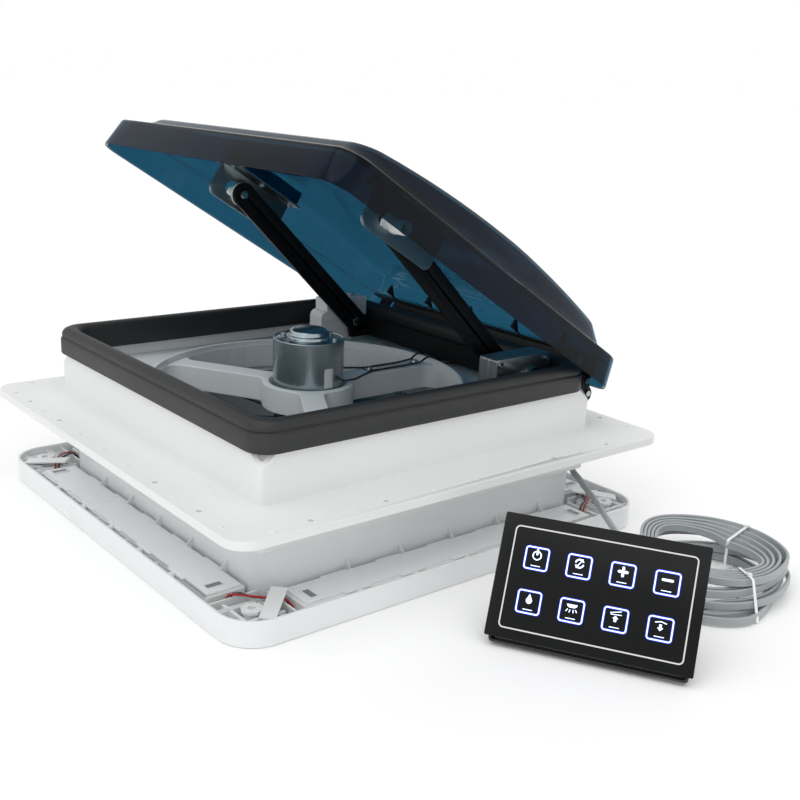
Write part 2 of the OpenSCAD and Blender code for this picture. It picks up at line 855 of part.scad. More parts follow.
module cable_tail() {
    color("gray") tube(tail_route, cable_half_t, cable_half_w, 8);
}

// a strap round the hank's section, out along X from the middle of a round end
module tie_loop() {
    translate([coil_end_r - coil_wall / 2, 0, 0]) difference() {
        cube([coil_wall + 2.6, 3, coil_h + 2.6], center = true);
        cube([coil_wall, 4, coil_h], center = true);
    }
}

module cable_ties() {
    color("white") translate([coil_x, coil_y, coil_low + coil_h / 2]) rotate([0, 0, coil_turn]) {
        translate([coil_straight / 2, 0, 0]) rotate(tie_far) tie_loop();
        translate([-coil_straight / 2, 0, 0]) rotate(tie_near) tie_loop();
    }
}

roof_frame();
lid_seal();
fan_shroud();
motor_spider();
motor_can();
motor_end_bell();
end_bell_screws();
spider_screws();
motor_leads();
motor_shaft();
fan_rotor();
rotor_nut();
gearbox_body();
gearbox_plate();
gearbox_cover();
gearbox_screws();
shaft_bush();
worm_wheel();
worm();
lift_motor();
drive_shaft();
lift_arm_near();
lift_arm_far();
arm_crossbar();
roller_pins();
roller_near();
roller_far();
support_block();
support_screw();
pivot_bolt();
lid_shell();
bracket_near();
bracket_far();
bracket_screws();
hinge_strip();
hinge_screws();
hinge_brackets();
hinge_pins();
hinge_bracket_screws();
trim_ring();
trim_duct();
insect_screen();
light_boxes();
light_strips();
light_leads_red();
light_leads_black();
panel_glass();
panel_bezel();
panel_box();
panel_board();
key_lights();
cable_grommet();
panel_grommet();
cable_lead();
cable_coil();
cable_tail();
cable_ties();
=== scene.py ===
import json
import math

import bmesh
import bpy
from mathutils import Matrix, Vector


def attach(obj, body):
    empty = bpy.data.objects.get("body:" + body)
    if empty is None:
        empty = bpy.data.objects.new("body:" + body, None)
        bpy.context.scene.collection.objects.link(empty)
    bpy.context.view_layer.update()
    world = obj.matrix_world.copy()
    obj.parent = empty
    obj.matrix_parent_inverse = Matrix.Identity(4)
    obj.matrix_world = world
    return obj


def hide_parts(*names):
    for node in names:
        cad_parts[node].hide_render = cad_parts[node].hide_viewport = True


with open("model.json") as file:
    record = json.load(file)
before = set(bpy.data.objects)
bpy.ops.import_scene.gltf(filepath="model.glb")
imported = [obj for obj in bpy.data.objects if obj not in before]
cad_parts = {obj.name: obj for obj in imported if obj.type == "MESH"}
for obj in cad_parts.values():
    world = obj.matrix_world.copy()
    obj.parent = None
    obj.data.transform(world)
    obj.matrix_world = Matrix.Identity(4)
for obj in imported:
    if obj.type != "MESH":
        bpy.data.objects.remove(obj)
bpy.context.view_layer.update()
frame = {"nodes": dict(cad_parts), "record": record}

mm = 0.001
record = frame["record"]
slotOf = {part["node"]: part["material_slot"] for part in record["subparts"]}
bodyOf = {node: body for body, nodes in record["behaviour"]["bodies"].items() for node in nodes}
print("frame loaded:", len(frame["nodes"]), "nodes")


cameraView = {"place": (0.88119, -0.62688, 0.42864), "azimuth": 50.16, "elevation": 16.39,
              "roll": 2.68, "lens": 48.74}


def makeCamera(view):
    azimuth, elevation, roll = (math.radians(view[k]) for k in ("azimuth", "elevation", "roll"))
    back = Vector((math.sin(azimuth) * math.cos(elevation), -math.cos(azimuth) * math.cos(elevation),
                   math.sin(elevation)))
    right = Vector((math.cos(azimuth), math.sin(azimuth), 0))
    up = back.cross(right)
    turnedRight = right * math.cos(roll) + up * math.sin(roll)
    turnedUp = up * math.cos(roll) - right * math.sin(roll)
    bpy.ops.object.camera_add()
    camera = bpy.context.object
    camera.matrix_world = Matrix.Translation(view["place"]) @ Matrix(
        (turnedRight, turnedUp, back)).transposed().to_4x4()
    camera.data.lens = view["lens"]
    camera.data.sensor_width = 36
    bpy.context.scene.camera = camera


makeCamera(cameraView)


def deselectAll():
    bpy.ops.object.select_all(action="DESELECT")


def take(piece):
    deselectAll()
    piece.select_set(True)
    bpy.context.view_layer.objects.active = piece


def enter(piece, kind="FACE"):
    take(piece)
    bpy.ops.object.mode_set(mode="EDIT")
    bpy.ops.mesh.select_mode(type=kind)
    bpy.ops.mesh.select_all(action="DESELECT")


def leave():
    bpy.ops.object.mode_set(mode="OBJECT")


def middleOf(part):
    if hasattr(part, "co"):
        return part.co / mm
    return sum((v.co for v in part.verts), Vector()) / len(part.verts) / mm


# picks corners, edges or faces whose middle in millimetres passes the test
def pick(piece, kind, test):
    bpy.ops.mesh.select_mode(type=kind)
    mesh = bmesh.from_edit_mesh(piece.data)
    for part in {"VERT": mesh.verts, "EDGE": mesh.edges, "FACE": mesh.faces}[kind]:
        part.select_set(bool(test(part, middleOf(part))))
    bmesh.update_edit_mesh(piece.data)


def settle(piece, name):
    take(piece)
    bpy.ops.object.transform_apply(location=True, rotation=True, scale=True)
    piece.name = name
    piece.data.name = name
    return piece


def startBlock(name, low, high):
    deselectAll()
    bpy.ops.mesh.primitive_cube_add(size=1, location=[(a + b) / 2 * mm for a, b in zip(low, high)])
    piece = bpy.context.object
    piece.scale = [(b - a) * mm for a, b in zip(low, high)]
    return settle(piece, name)


def startRound(name, centre, radius, height, sides=48, turn=(0, 0, 0)):
    deselectAll()
    bpy.ops.mesh.primitive_cylinder_add(vertices=sides, radius=radius * mm, depth=height * mm,
                                        location=[c * mm for c in centre], rotation=turn)
    return settle(bpy.context.object, name)


def finishWith(piece, kind, **values):
    take(piece)
    step = piece.modifiers.new(kind.title(), kind)
    for key, value in values.items():
        setattr(step, key, value)
    bpy.ops.object.modifier_apply(modifier=step.name)


def smoothOver(piece, angle=35):
    take(piece)
    bpy.ops.object.shade_smooth_by_angle(angle=math.radians(angle))


def ease(piece, width, segments=2, angle=32):
    smoothOver(piece)
    finishWith(piece, "BEVEL", width=width * mm, segments=segments, limit_method="ANGLE",
               angle_limit=math.radians(angle), use_clamp_overlap=False, harden_normals=True)
    return piece


def cutAway(piece, cutter):
    finishWith(piece, "BOOLEAN", operation="DIFFERENCE", object=cutter, solver="EXACT")
    bpy.data.objects.remove(cutter)


def addOn(piece, other):
    finishWith(piece, "BOOLEAN", operation="UNION", object=other, solver="EXACT")
    bpy.data.objects.remove(other)


def joinAll(name, pieces):
    take(pieces[0])
    for piece in pieces:
        piece.select_set(True)
    bpy.ops.object.join()
    return settle(bpy.context.object, name)


def copyOf(piece, name, place=None):
    other = piece.copy()
    other.data = piece.data.copy()
    other.name = other.data.name = name
    bpy.context.collection.objects.link(other)
    if place is not None:
        other.matrix_world = place
        settle(other, name)
    return other


def setPlace(piece, place):
    piece.matrix_world = place
    return settle(piece, piece.name)


def roundUpright(piece, radius, segments=8):
    enter(piece, "EDGE")
    pick(piece, "EDGE", lambda e, m: abs(e.verts[0].co.z - e.verts[1].co.z) > 0.6 * e.calc_length())
    bpy.ops.mesh.bevel(offset=radius * mm, segments=segments, affect="EDGES")
    leave()


def roundedBlock(name, low, high, radius, segments=8):
    piece = startBlock(name, low, high)
    roundUpright(piece, radius, segments)
    return piece


# a ring swept round a rounded rectangle: each profile step is (inset, height) in millimetres
def sweepOutline(name, sizeX, sizeY, centreY, radius, profile, segments=10, cuts=0, closed=True):
    deselectAll()
    inset, height = profile[0]
    bpy.ops.mesh.primitive_plane_add(size=1, location=(0, centreY * mm, height * mm))
    piece = bpy.context.object
    piece.scale = ((sizeX - 2 * inset) * mm, (sizeY - 2 * inset) * mm, 1)
    settle(piece, name)
    enter(piece, "VERT")
    bpy.ops.mesh.select_all(action="SELECT")
    bpy.ops.mesh.bevel(offset=radius * mm, segments=segments, affect="VERTICES")
    bpy.ops.mesh.select_mode(type="FACE")
    bpy.ops.mesh.select_all(action="SELECT")
    bpy.ops.mesh.delete(type="ONLY_FACE")
    if cuts:
        pick(piece, "EDGE", lambda e, m: e.calc_length() > 0.08)
        bpy.ops.mesh.subdivide(number_cuts=cuts)
    bpy.ops.mesh.select_mode(type="EDGE")
    bpy.ops.mesh.select_all(action="SELECT")
    was, wasHeight = profile[0]
    steps = profile[1:] + (profile[:1] if closed else [])
    for now, nowHeight in steps:
        bpy.ops.mesh.extrude_edges_move()
        bpy.ops.transform.resize(
            value=((sizeX - 2 * now) / (sizeX - 2 * was), (sizeY - 2 * now) / (sizeY - 2 * was), 1),
            center_override=(0, centreY * mm, wasHeight * mm))
        bpy.ops.transform.translate(value=(0, 0, (nowHeight - wasHeight) * mm))
        was, wasHeight = now, nowHeight
    bpy.ops.mesh.select_all(action="SELECT")
    bpy.ops.mesh.remove_doubles(threshold=0.02 * mm)
    bpy.ops.mesh.select_all(action="SELECT")
    bpy.ops.mesh.normals_make_consistent(inside=False)
    leave()
    return piece


def shade(red, green, blue):
    def straight(c):
        c = c / 255
        return c / 12.92 if c <= 0.04045 else ((c + 0.055) / 1.055) ** 2.4
    return (straight(red), straight(green), straight(blue), 1)


def newGroup(name, inputs, outputs):
    group = bpy.data.node_groups.new(name, "ShaderNodeTree")
    for label, kind, value in inputs:
        socket = group.interface.new_socket(label, in_out="INPUT", socket_type=kind)
        if value is not None:
            socket.default_value = value
    for label, kind in outputs:
        group.interface.new_socket(label, in_out="OUTPUT", socket_type=kind)
    return group, group.nodes.new("NodeGroupInput"), group.nodes.new("NodeGroupOutput")


def addNode(tree, kind, links=(), **values):
    node = tree.nodes.new(kind)
    for key, value in values.items():
        setattr(node, key, value)
    for socket, source in dict(links).items():
        if isinstance(source, bpy.types.NodeSocket):
            tree.links.new(source, node.inputs[socket])
        else:
            node.inputs[socket].default_value = source
    return node


floatIn, colourIn = "NodeSocketFloat", "NodeSocketColor"


# fine moulded or cast grain, as a normal
def makeGrainGroup():
    tree, given, out = newGroup("surface grain", [("Size", floatIn, 900.0), ("Depth", floatIn, 0.02),
                                                  ("Waves", floatIn, 0.1)],
                                [("Normal", "NodeSocketVector"), ("Mask", floatIn)])
    place = addNode(tree, "ShaderNodeTexCoord").outputs["Object"]
    fine = addNode(tree, "ShaderNodeTexNoise", {"Vector": place, "Scale": given.outputs["Size"],
                                                "Detail": 3.0, "Roughness": 0.6})
    slow = addNode(tree, "ShaderNodeTexNoise", {"Vector": place, "Scale": 14.0, "Detail": 2.0})
    waves = addNode(tree, "ShaderNodeMath", {0: slow.outputs["Fac"], 1: given.outputs["Waves"]},
                    operation="MULTIPLY")
    grain = addNode(tree, "ShaderNodeMath", {0: fine.outputs["Fac"], 1: given.outputs["Depth"]},
                    operation="MULTIPLY")
    both = addNode(tree, "ShaderNodeMath", {0: waves.outputs[0], 1: grain.outputs[0]}, operation="ADD")
    bump = addNode(tree, "ShaderNodeBump", {"Height": both.outputs[0], "Strength": 1.0,
                                            "Distance": 0.002})
    tree.links.new(bump.outputs["Normal"], out.inputs["Normal"])
    tree.links.new(fine.outputs["Fac"], out.inputs["Mask"])
    return tree


# slow changes of tone, lighter edges and dust in the corners, as a colour and a roughness; the lighter edges
# are wear, and on the seal rubber a painted highlight along the bead
def makeToneEdgeDustGroup():
    tree, given, out = newGroup(
        "tone, edge wear and highlight, and dust",
        [("Colour", colourIn, (0.8, 0.8, 0.8, 1)), ("Tone", floatIn, 0.04), ("Patch", floatIn, 9.0),
         ("Edge Colour", colourIn, (0.9, 0.9, 0.9, 1)), ("Edge", floatIn, 0.3),
         ("Dust Colour", colourIn, (0.5, 0.49, 0.46, 1)), ("Dust", floatIn, 0.1),
         ("Roughness", floatIn, 0.5), ("Spread", floatIn, 0.08)],
        [("Colour", colourIn), ("Roughness", floatIn)])
    place = addNode(tree, "ShaderNodeTexCoord").outputs["Object"]
    patch = addNode(tree, "ShaderNodeTexNoise", {"Vector": place, "Scale": given.outputs["Patch"],
                                                 "Detail": 5.0, "Roughness": 0.55})
    swing = addNode(tree, "ShaderNodeMapRange", {"Value": patch.outputs["Fac"], "From Min": 0.3,
                                                 "From Max": 0.7, "To Min": -1.0, "To Max": 1.0})
    amount = addNode(tree, "ShaderNodeMath", {0: swing.outputs[0], 1: given.outputs["Tone"]},
                     operation="MULTIPLY")
    factor = addNode(tree, "ShaderNodeMath", {0: amount.outputs[0], 1: 1.0}, operation="ADD")
    toned = addNode(tree, "ShaderNodeVectorMath", {0: given.outputs["Colour"]}, operation="SCALE")
    tree.links.new(factor.outputs[0], toned.inputs["Scale"])
    point = addNode(tree, "ShaderNodeNewGeometry").outputs["Pointiness"]
    # convex edges get a lighter colour: wear, and on the seal rubber a painted highlight along the bead
    high = addNode(tree, "ShaderNodeMapRange", {"Value": point, "From Min": 0.53, "From Max": 0.6,
                                                "To Min": 0.0, "To Max": 1.0})
    edgeBreakup = addNode(tree, "ShaderNodeTexNoise", {"Vector": place, "Scale": 160.0, "Detail": 4.0})
    wearAndHighlightMask = addNode(tree, "ShaderNodeMath", {0: high.outputs[0], 1: edgeBreakup.outputs["Fac"]},
                     operation="MULTIPLY")
    edge = addNode(tree, "ShaderNodeMath", {0: wearAndHighlightMask.outputs[0], 1: given.outputs["Edge"]},
                   operation="MULTIPLY")
    wearAndHighlightMix = addNode(tree, "ShaderNodeMix", {"Factor": edge.outputs[0]}, data_type="RGBA")
    tree.links.new(toned.outputs[0], wearAndHighlightMix.inputs[6])
    tree.links.new(given.outputs["Edge Colour"], wearAndHighlightMix.inputs[7])
    low = addNode(tree, "ShaderNodeMapRange", {"Value": point, "From Min": 0.49, "From Max": 0.4,
                                               "To Min": 0.0, "To Max": 1.0})
    speck = addNode(tree, "ShaderNodeTexNoise", {"Vector": place, "Scale": 60.0, "Detail": 6.0,
                                                 "Roughness": 0.7})
    settled = addNode(tree, "ShaderNodeMath", {0: low.outputs[0], 1: speck.outputs["Fac"]},
                      operation="MULTIPLY")
    dust = addNode(tree, "ShaderNodeMath", {0: settled.outputs[0], 1: given.outputs["Dust"]},
                   operation="MULTIPLY")
    dusty = addNode(tree, "ShaderNodeMix", {"Factor": dust.outputs[0]}, data_type="RGBA")
    tree.links.new(wearAndHighlightMix.outputs[2], dusty.inputs[6])
    tree.links.new(given.outputs["Dust Colour"], dusty.inputs[7])
    vary = addNode(tree, "ShaderNodeMath", {0: swing.outputs[0], 1: given.outputs["Spread"]},
                   operation="MULTIPLY")
    rough = addNode(tree, "ShaderNodeMath", {0: vary.outputs[0], 1: given.outputs["Roughness"]},
                    operation="ADD", use_clamp=True)
    tree.links.new(dusty.outputs[2], out.inputs["Colour"])
    tree.links.new(rough.outputs[0], out.inputs["Roughness"])
    return tree


# drawn or brushed lines along one axis
def makeBrushGroup():
    tree, given, out = newGroup("drawn lines", [("Along", "NodeSocketVector", (1.0, 1.0, 0.03)),
                                                ("Size", floatIn, 1200.0), ("Depth", floatIn, 0.05)],
                                [("Normal", "NodeSocketVector"), ("Mask", floatIn)])
    place = addNode(tree, "ShaderNodeTexCoord").outputs["Object"]
    drawn = addNode(tree, "ShaderNodeVectorMath", {0: place, 1: given.outputs["Along"]},
                    operation="MULTIPLY")
    lines = addNode(tree, "ShaderNodeTexNoise", {"Vector": drawn.outputs[0],
                                                 "Scale": given.outputs["Size"], "Detail": 2.0})
    depth = addNode(tree, "ShaderNodeMath", {0: lines.outputs["Fac"], 1: given.outputs["Depth"]},
                    operation="MULTIPLY")
    bump = addNode(tree, "ShaderNodeBump", {"Height": depth.outputs[0], "Strength": 1.0,
                                            "Distance": 0.002})
    tree.links.new(bump.outputs["Normal"], out.inputs["Normal"])
    tree.links.new(lines.outputs["Fac"], out.inputs["Mask"])
    return tree


groups = {"grain": makeGrainGroup(), "toneEdgeDust": makeToneEdgeDustGroup(), "brush": makeBrushGroup()}

# each finish: its colour, tone swing, roughness, grain or drawn lines, lighter edge and dust; the lighter
# edge is wear, and on the seal rubber a painted highlight
finishes = {
    "white_plastic": {"colour": shade(229, 230, 230), "tone": 0.012, "rough": 0.42, "grain": (1500, 0.010),
                      "edge": (shade(252, 252, 252), 0.25), "dust": 0.10},
    "shroud_plastic": {"colour": shade(226, 230, 231), "tone": 0.02, "rough": 0.45, "grain": (1300, 0.012),
                       "edge": (shade(246, 247, 247), 0.3), "dust": 0.14},
    "trim_plastic": {"colour": shade(230, 232, 233), "tone": 0.010, "rough": 0.30, "grain": (1600, 0.006),
                     "edge": (shade(255, 255, 255), 0.25), "dust": 0.08, "coat": 0.15},
    "light_plastic": {"colour": shade(228, 230, 231), "tone": 0.012, "rough": 0.48, "grain": (1400, 0.01),
                      "edge": (shade(255, 255, 255), 0.2), "dust": 0.1},
    "white_nylon": {"colour": shade(236, 238, 236), "tone": 0.02, "rough": 0.40, "grain": (1200, 0.01),
                    "edge": (shade(250, 250, 250), 0.3), "dust": 0.1},
    "strip_board": {"colour": shade(226, 222, 200), "tone": 0.05, "rough": 0.5, "grain": (900, 0.01),
                    "edge": (shade(240, 236, 220), 0.2), "dust": 0.1},
    # the seal's lighter edge colour is a painted highlight along its bead and top corner, not wear
    "seal_rubber": {"colour": shade(36, 37, 38), "tone": 0.10, "rough": 0.5, "grain": (1000, 0.03),
                    "edge": (shade(92, 92, 92), 0.5), "dust": 0.25},
    "black_rubber": {"colour": shade(34, 34, 35), "tone": 0.08, "rough": 0.65, "grain": (1100, 0.03),
                     "edge": (shade(70, 70, 70), 0.4), "dust": 0.2},
    "black_plastic": {"colour": shade(26, 27, 28), "tone": 0.08, "rough": 0.42, "grain": (1400, 0.02),
                      "edge": (shade(70, 72, 74), 0.4), "dust": 0.18},
    "black_steel": {"colour": shade(11, 12, 13), "tone": 0.10, "rough": 0.5, "grain": (700, 0.02),
                    "edge": (shade(50, 52, 54), 0.3), "dust": 0.1, "ior": 1.3},
    "grey_cable": {"colour": shade(160, 166, 168), "tone": 0.03, "rough": 0.36, "grain": (1300, 0.01),
                   "edge": (shade(190, 195, 197), 0.2), "dust": 0.12, "coat": 0.1},
    "lead_red": {"colour": shade(168, 36, 34), "tone": 0.06, "rough": 0.4, "grain": (1200, 0.01),
                 "edge": (shade(200, 80, 76), 0.2), "dust": 0.1},
    "lead_black": {"colour": shade(44, 42, 42), "tone": 0.06, "rough": 0.42, "grain": (1200, 0.01),
                   "edge": (shade(80, 80, 80), 0.2), "dust": 0.15},
    "circuit_board": {"colour": shade(24, 84, 48), "tone": 0.10, "rough": 0.35, "grain": (500, 0.02),
                      "edge": (shade(170, 150, 90), 0.5), "dust": 0.1, "coat": 0.3},
    "rotor_plastic": {"colour": shade(40, 78, 90), "tone": 0.06, "rough": 0.22, "grain": (1300, 0.006),
                      "edge": (shade(110, 140, 150), 0.3), "dust": 0.12, "coat": 0.3},
    "panel_black_glass": {"colour": shade(17, 18, 19), "tone": 0.05, "rough": 0.10, "grain": (300, 0.0),
                          "edge": (shade(60, 64, 66), 0.5), "dust": 0.03, "ior": 1.27},
    "key_guide": {"colour": shade(190, 215, 245), "tone": 0.03, "rough": 0.15, "grain": (900, 0.004),
                  "edge": (shade(230, 240, 250), 0.2), "dust": 0.02, "coat": 0.5},
    "screen_mesh": {"colour": shade(70, 72, 73), "tone": 0.08, "rough": 0.6, "grain": (2000, 0.04),
                    "edge": (shade(110, 110, 110), 0.3), "dust": 0.2},
    "motor_steel": {"colour": shade(176, 188, 192), "tone": 0.10, "rough": 0.30, "metal": 1.0,
                    "lines": ((1.0, 1.0, 0.02), 900, 0.035), "edge": (shade(220, 226, 228), 0.5),
                    "dust": 0.2},
    "screw_steel": {"colour": shade(186, 190, 192), "tone": 0.08, "rough": 0.28, "metal": 1.0,
                    "lines": ((1.0, 1.0, 0.3), 1600, 0.02), "edge": (shade(225, 228, 230), 0.5),
                    "dust": 0.3},
    "shaft_steel": {"colour": shade(178, 182, 184), "tone": 0.06, "rough": 0.22, "metal": 1.0,
                    "lines": ((0.03, 1.0, 1.0), 1500, 0.02), "edge": (shade(220, 222, 224), 0.4),
                    "dust": 0.2},
    "bracket_steel": {"colour": shade(128, 140, 144), "tone": 0.08, "rough": 0.36, "metal": 1.0,
                      "lines": ((1.0, 0.04, 1.0), 1100, 0.03), "edge": (shade(205, 212, 214), 0.6),
                      "dust": 0.2},
    "cast_zinc": {"colour": shade(150, 158, 162), "tone": 0.12, "rough": 0.44, "metal": 1.0,
                  "grain": (420, 0.06), "edge": (shade(205, 210, 212), 0.6), "dust": 0.35},
    "brass_gear": {"colour": shade(196, 160, 84), "tone": 0.08, "rough": 0.28, "metal": 1.0,
                   "lines": ((0.05, 1.0, 1.0), 1200, 0.02), "edge": (shade(232, 205, 140), 0.4),
                   "dust": 0.2},
}


def makeFinish(name, look):
    material = bpy.data.materials.new(name)
    material.use_nodes = True
    tree = material.node_tree
    skin = tree.nodes["Principled BSDF"]
    toneEdgeDust = addNode(tree, "ShaderNodeGroup", node_tree=groups["toneEdgeDust"])
    toneEdgeDust.inputs["Colour"].default_value = look["colour"]
    toneEdgeDust.inputs["Tone"].default_value = look["tone"]
    # the edge colour and amount: wear, and for the seal rubber a painted highlight
    toneEdgeDust.inputs["Edge Colour"].default_value = look["edge"][0]
    toneEdgeDust.inputs["Edge"].default_value = look["edge"][1]
    toneEdgeDust.inputs["Dust"].default_value = look["dust"]
    toneEdgeDust.inputs["Roughness"].default_value = look["rough"]
    toneEdgeDust.inputs["Spread"].default_value = 0.12 * look["rough"]
    tree.links.new(toneEdgeDust.outputs["Colour"], skin.inputs["Base Color"])
    tree.links.new(toneEdgeDust.outputs["Roughness"], skin.inputs["Roughness"])
    if "lines" in look:
        lines = addNode(tree, "ShaderNodeGroup", node_tree=groups["brush"])
        lines.inputs["Along"].default_value = look["lines"][0]
        lines.inputs["Size"].default_value = look["lines"][1]
        lines.inputs["Depth"].default_value = look["lines"][2]
        tree.links.new(lines.outputs["Normal"], skin.inputs["Normal"])
    else:
        grain = addNode(tree, "ShaderNodeGroup", node_tree=groups["grain"])
        grain.inputs["Size"].default_value = look["grain"][0]
        grain.inputs["Depth"].default_value = look["grain"][1]
        grain.inputs["Waves"].default_value = look.get("waves", 0.02)
        tree.links.new(grain.outputs["Normal"], skin.inputs["Normal"])
    skin.inputs["Metallic"].default_value = look.get("metal", 0.0)
    skin.inputs["Coat Weight"].default_value = look.get("coat", 0.0)
    skin.inputs["Coat Roughness"].default_value = 0.12
    skin.inputs["IOR"].default_value = look.get("ior", 1.45)
    return material


# dark blue smoked acrylic: clear, with faint haze from handling
acrylic = {"tint": (0.012, 0.072, 0.125, 1), "rough": 0.03, "ior": 1.22}


def makeAcrylic(look):
    material = bpy.data.materials.new("smoked_acrylic")
    material.use_nodes = True
    tree = material.node_tree
    skin = tree.nodes["Principled BSDF"]
    toneEdgeDust = addNode(tree, "ShaderNodeGroup", node_tree=groups["toneEdgeDust"])
    for label, value in {"Colour": look["tint"], "Tone": 0.05, "Patch": 5.0, "Edge": 0.0, "Dust": 0.0,
                         "Roughness": look["rough"], "Spread": 0.012}.items():
        toneEdgeDust.inputs[label].default_value = value
    grain = addNode(tree, "ShaderNodeGroup", node_tree=groups["grain"])
    for label, value in {"Size": 30.0, "Depth": 0.001, "Waves": 0.012}.items():
        grain.inputs[label].default_value = value
    tree.links.new(toneEdgeDust.outputs["Colour"], skin.inputs["Base Color"])
    tree.links.new(toneEdgeDust.outputs["Roughness"], skin.inputs["Roughness"])
    tree.links.new(grain.outputs["Normal"], skin.inputs["Normal"])
    skin.inputs["Transmission Weight"].default_value = 1.0
    skin.inputs["IOR"].default_value = look["ior"]
    return material


def makeGlow(name, colour, strength):
    material = bpy.data.materials.new(name)
    material.use_nodes = True
    tree = material.node_tree
    skin = tree.nodes["Principled BSDF"]
    place = addNode(tree, "ShaderNodeTexCoord").outputs["Object"]
    cloud = addNode(tree, "ShaderNodeTexNoise", {"Vector": place, "Scale": 220.0, "Detail": 2.0})
    blend = addNode(tree, "ShaderNodeMix", {"Factor": cloud.outputs["Fac"]}, data_type="RGBA")
    blend.inputs[6].default_value = colour
    blend.inputs[7].default_value = (colour[0] * 0.8, colour[1] * 0.9, colour[2], 1)
    tree.links.new(blend.outputs[2], skin.inputs["Base Color"])
    tree.links.new(blend.outputs[2], skin.inputs["Emission Color"])
    skin.inputs["Emission Strength"].default_value = strength
    skin.inputs["Roughness"].default_value = 0.4
    return material


finish = {name: makeFinish(name, look) for name, look in finishes.items()}
finish["smoked_acrylic"] = makeAcrylic(acrylic)
finish["key_light"] = makeGlow("key_light", shade(214, 228, 255), 1.5)
finish["key_halo"] = makeGlow("key_halo", shade(36, 62, 225), 0.85)
finish["frame_print"] = makeFinish("frame_print", {"colour": shade(216, 216, 212), "tone": 0.02,
                                                   "rough": 0.35, "grain": (900, 0.004),
                                                   "edge": (shade(230, 230, 230), 0.1), "dust": 0.02})
finish["label_paper"] = makeFinish("label_paper", {"colour": shade(214, 218, 218), "tone": 0.03,
                                                   "rough": 0.55, "grain": (700, 0.02),
                                                   "edge": (shade(240, 240, 240), 0.1), "dust": 0.08})
for node, thing in frame["nodes"].items():
    thing.data.materials.clear()
    thing.data.materials.append(finish[slotOf[node]])
print("finishes made:", len(finish))


# gives a finished piece its material, body and the nodes it stands for
def dress(piece, slot, body, *nodes, material=None):
    piece.data.materials.clear()
    piece.data.materials.append(material or finish[slot])
    if nodes:
        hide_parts(*nodes)
    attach(piece, body)
    return piece


# the flat cable: its lead, its coil and its tail, in millimetres
cable = {
    "wide": 7.5, "thick": 3.0, "groove": 0.22,
    "lead": [(187, 187, 56), (188, 187, 53), (190, 187, 50), (194, 187, 48), (200, 186, 46), (209, 182, 43),
             (220, 178, 40), (232, 173, 38), (244, 168, 34), (254, 164, 30), (265, 160.5, 25.5),
             (276, 157, 21), (287, 153.5, 16.5), (298, 149.5, 12), (309, 144.5, 8.2), (318, 139.5, 5.9)],
    "tail": [(361, 113, 29), (369, 106.5, 28), (377, 99.5, 25.5), (385, 90, 22.5), (390.5, 79, 19),
             (393, 68, 16), (393.5, 57, 14), (393, 47, 13), (393, 38, 14), (394, 29.5, 17), (396, 22, 21)],
    "centre": (370, 183), "turn": 140, "start": 62, "firstTurn": 0.07, "extra": 0.12, "steps": 36,
    # each turn's distance from the middle every 30 degrees, its height, and when it steps over
    "turns": [
        ([60, 60, 60, 59, 63, 81, 79, 64, 53, 50, 52, 57], 4.9, 1),
        ([54, 54, 54, 53, 57, 75, 73, 58, 47, 44, 46, 51], 4.9, 0.8),
        ([50, 52, 54, 54, 60, 72, 67, 60, 57, 61, 58, 52], 13.1, 0.68),
        ([56, 58, 60, 60, 66, 78, 73, 66, 63, 67, 64, 58], 13.1, 0.56),
        ([76, 80, 69, 64, 65, 74, 66, 57, 57, 65, 68, 71], 21.3, 0.44),
        ([69, 73, 63, 58, 59, 68, 60, 51, 51, 59, 62, 65], 21.3, 0.32)],
    "topInner": [47, 64, 57, 48, 45, 45, 44, 42, 42, 33, 27, 28],
    "topOuter": [81, 84, 71, 62.5, 60, 61, 62, 59, 58, 65, 69, 75],
    "topTurns": 5, "topHeight": 29.6,
}


def alongTable(table, angle):
    place = (angle / 30) % 12
    i = int(place)
    u = place - i
    a, b, c, d = table[i - 1], table[i], table[(i + 1) % 12], table[(i + 2) % 12]
    return b + 0.5 * u * (c - a + u * (2 * a - 5 * b + 4 * c - d + u * (3 * (b - c) + d - a)))


def eased(u):
    u = max(0, min(1, u))
    return u * u * (3 - 2 * u)


def cableRoute(c):
    turns = list(c["turns"])
    for k in range(c["topTurns"]):
        share = k / (c["topTurns"] - 1)
        turns.append(([a + (b - a) * share for a, b in zip(c["topInner"], c["topOuter"])],
                      c["topHeight"], 0.2 if k == 0 else 0))
    count = len(turns)
    turns.append(([b + 3.6 for b in c["topOuter"]], c["topHeight"], 0))
    first, last = c["firstTurn"], count + c["extra"]
    total = int((last - first) * c["steps"])
    points, tilts = [Vector(p) for p in c["lead"]], [0.0] * len(c["lead"])
    for i in range(total + 1):
        t = first + (last - first) * i / total
        k = int(t)
        angle = c["start"] + 360 * t
        now = turns[k]
        before = turns[k - 1] if k else ([r + 6.5 for r in now[0]], now[1], 0)
        share = eased(((t - k) * 3 - now[2]) / 0.24)
        reach = alongTable(before[0], angle) * (1 - share) + alongTable(now[0], angle) * share
        way = math.radians(angle + c["turn"])
        points.append(Vector((c["centre"][0] + reach * math.cos(way), c["centre"][1] + reach * math.sin(way),
                              before[1] + (now[1] - before[1]) * share)))
        lean = eased(1 - abs(((angle - 325 + 180) % 360) - 180) / 45) if k >= len(c["turns"]) else 0
        tilts.append(math.radians(34) * lean * (1 if 1 <= k - len(c["turns"]) else 0.4))
    points += [Vector(p) for p in c["tail"]]
    tilts += [0.0] * len(c["tail"])
    return points, tilts


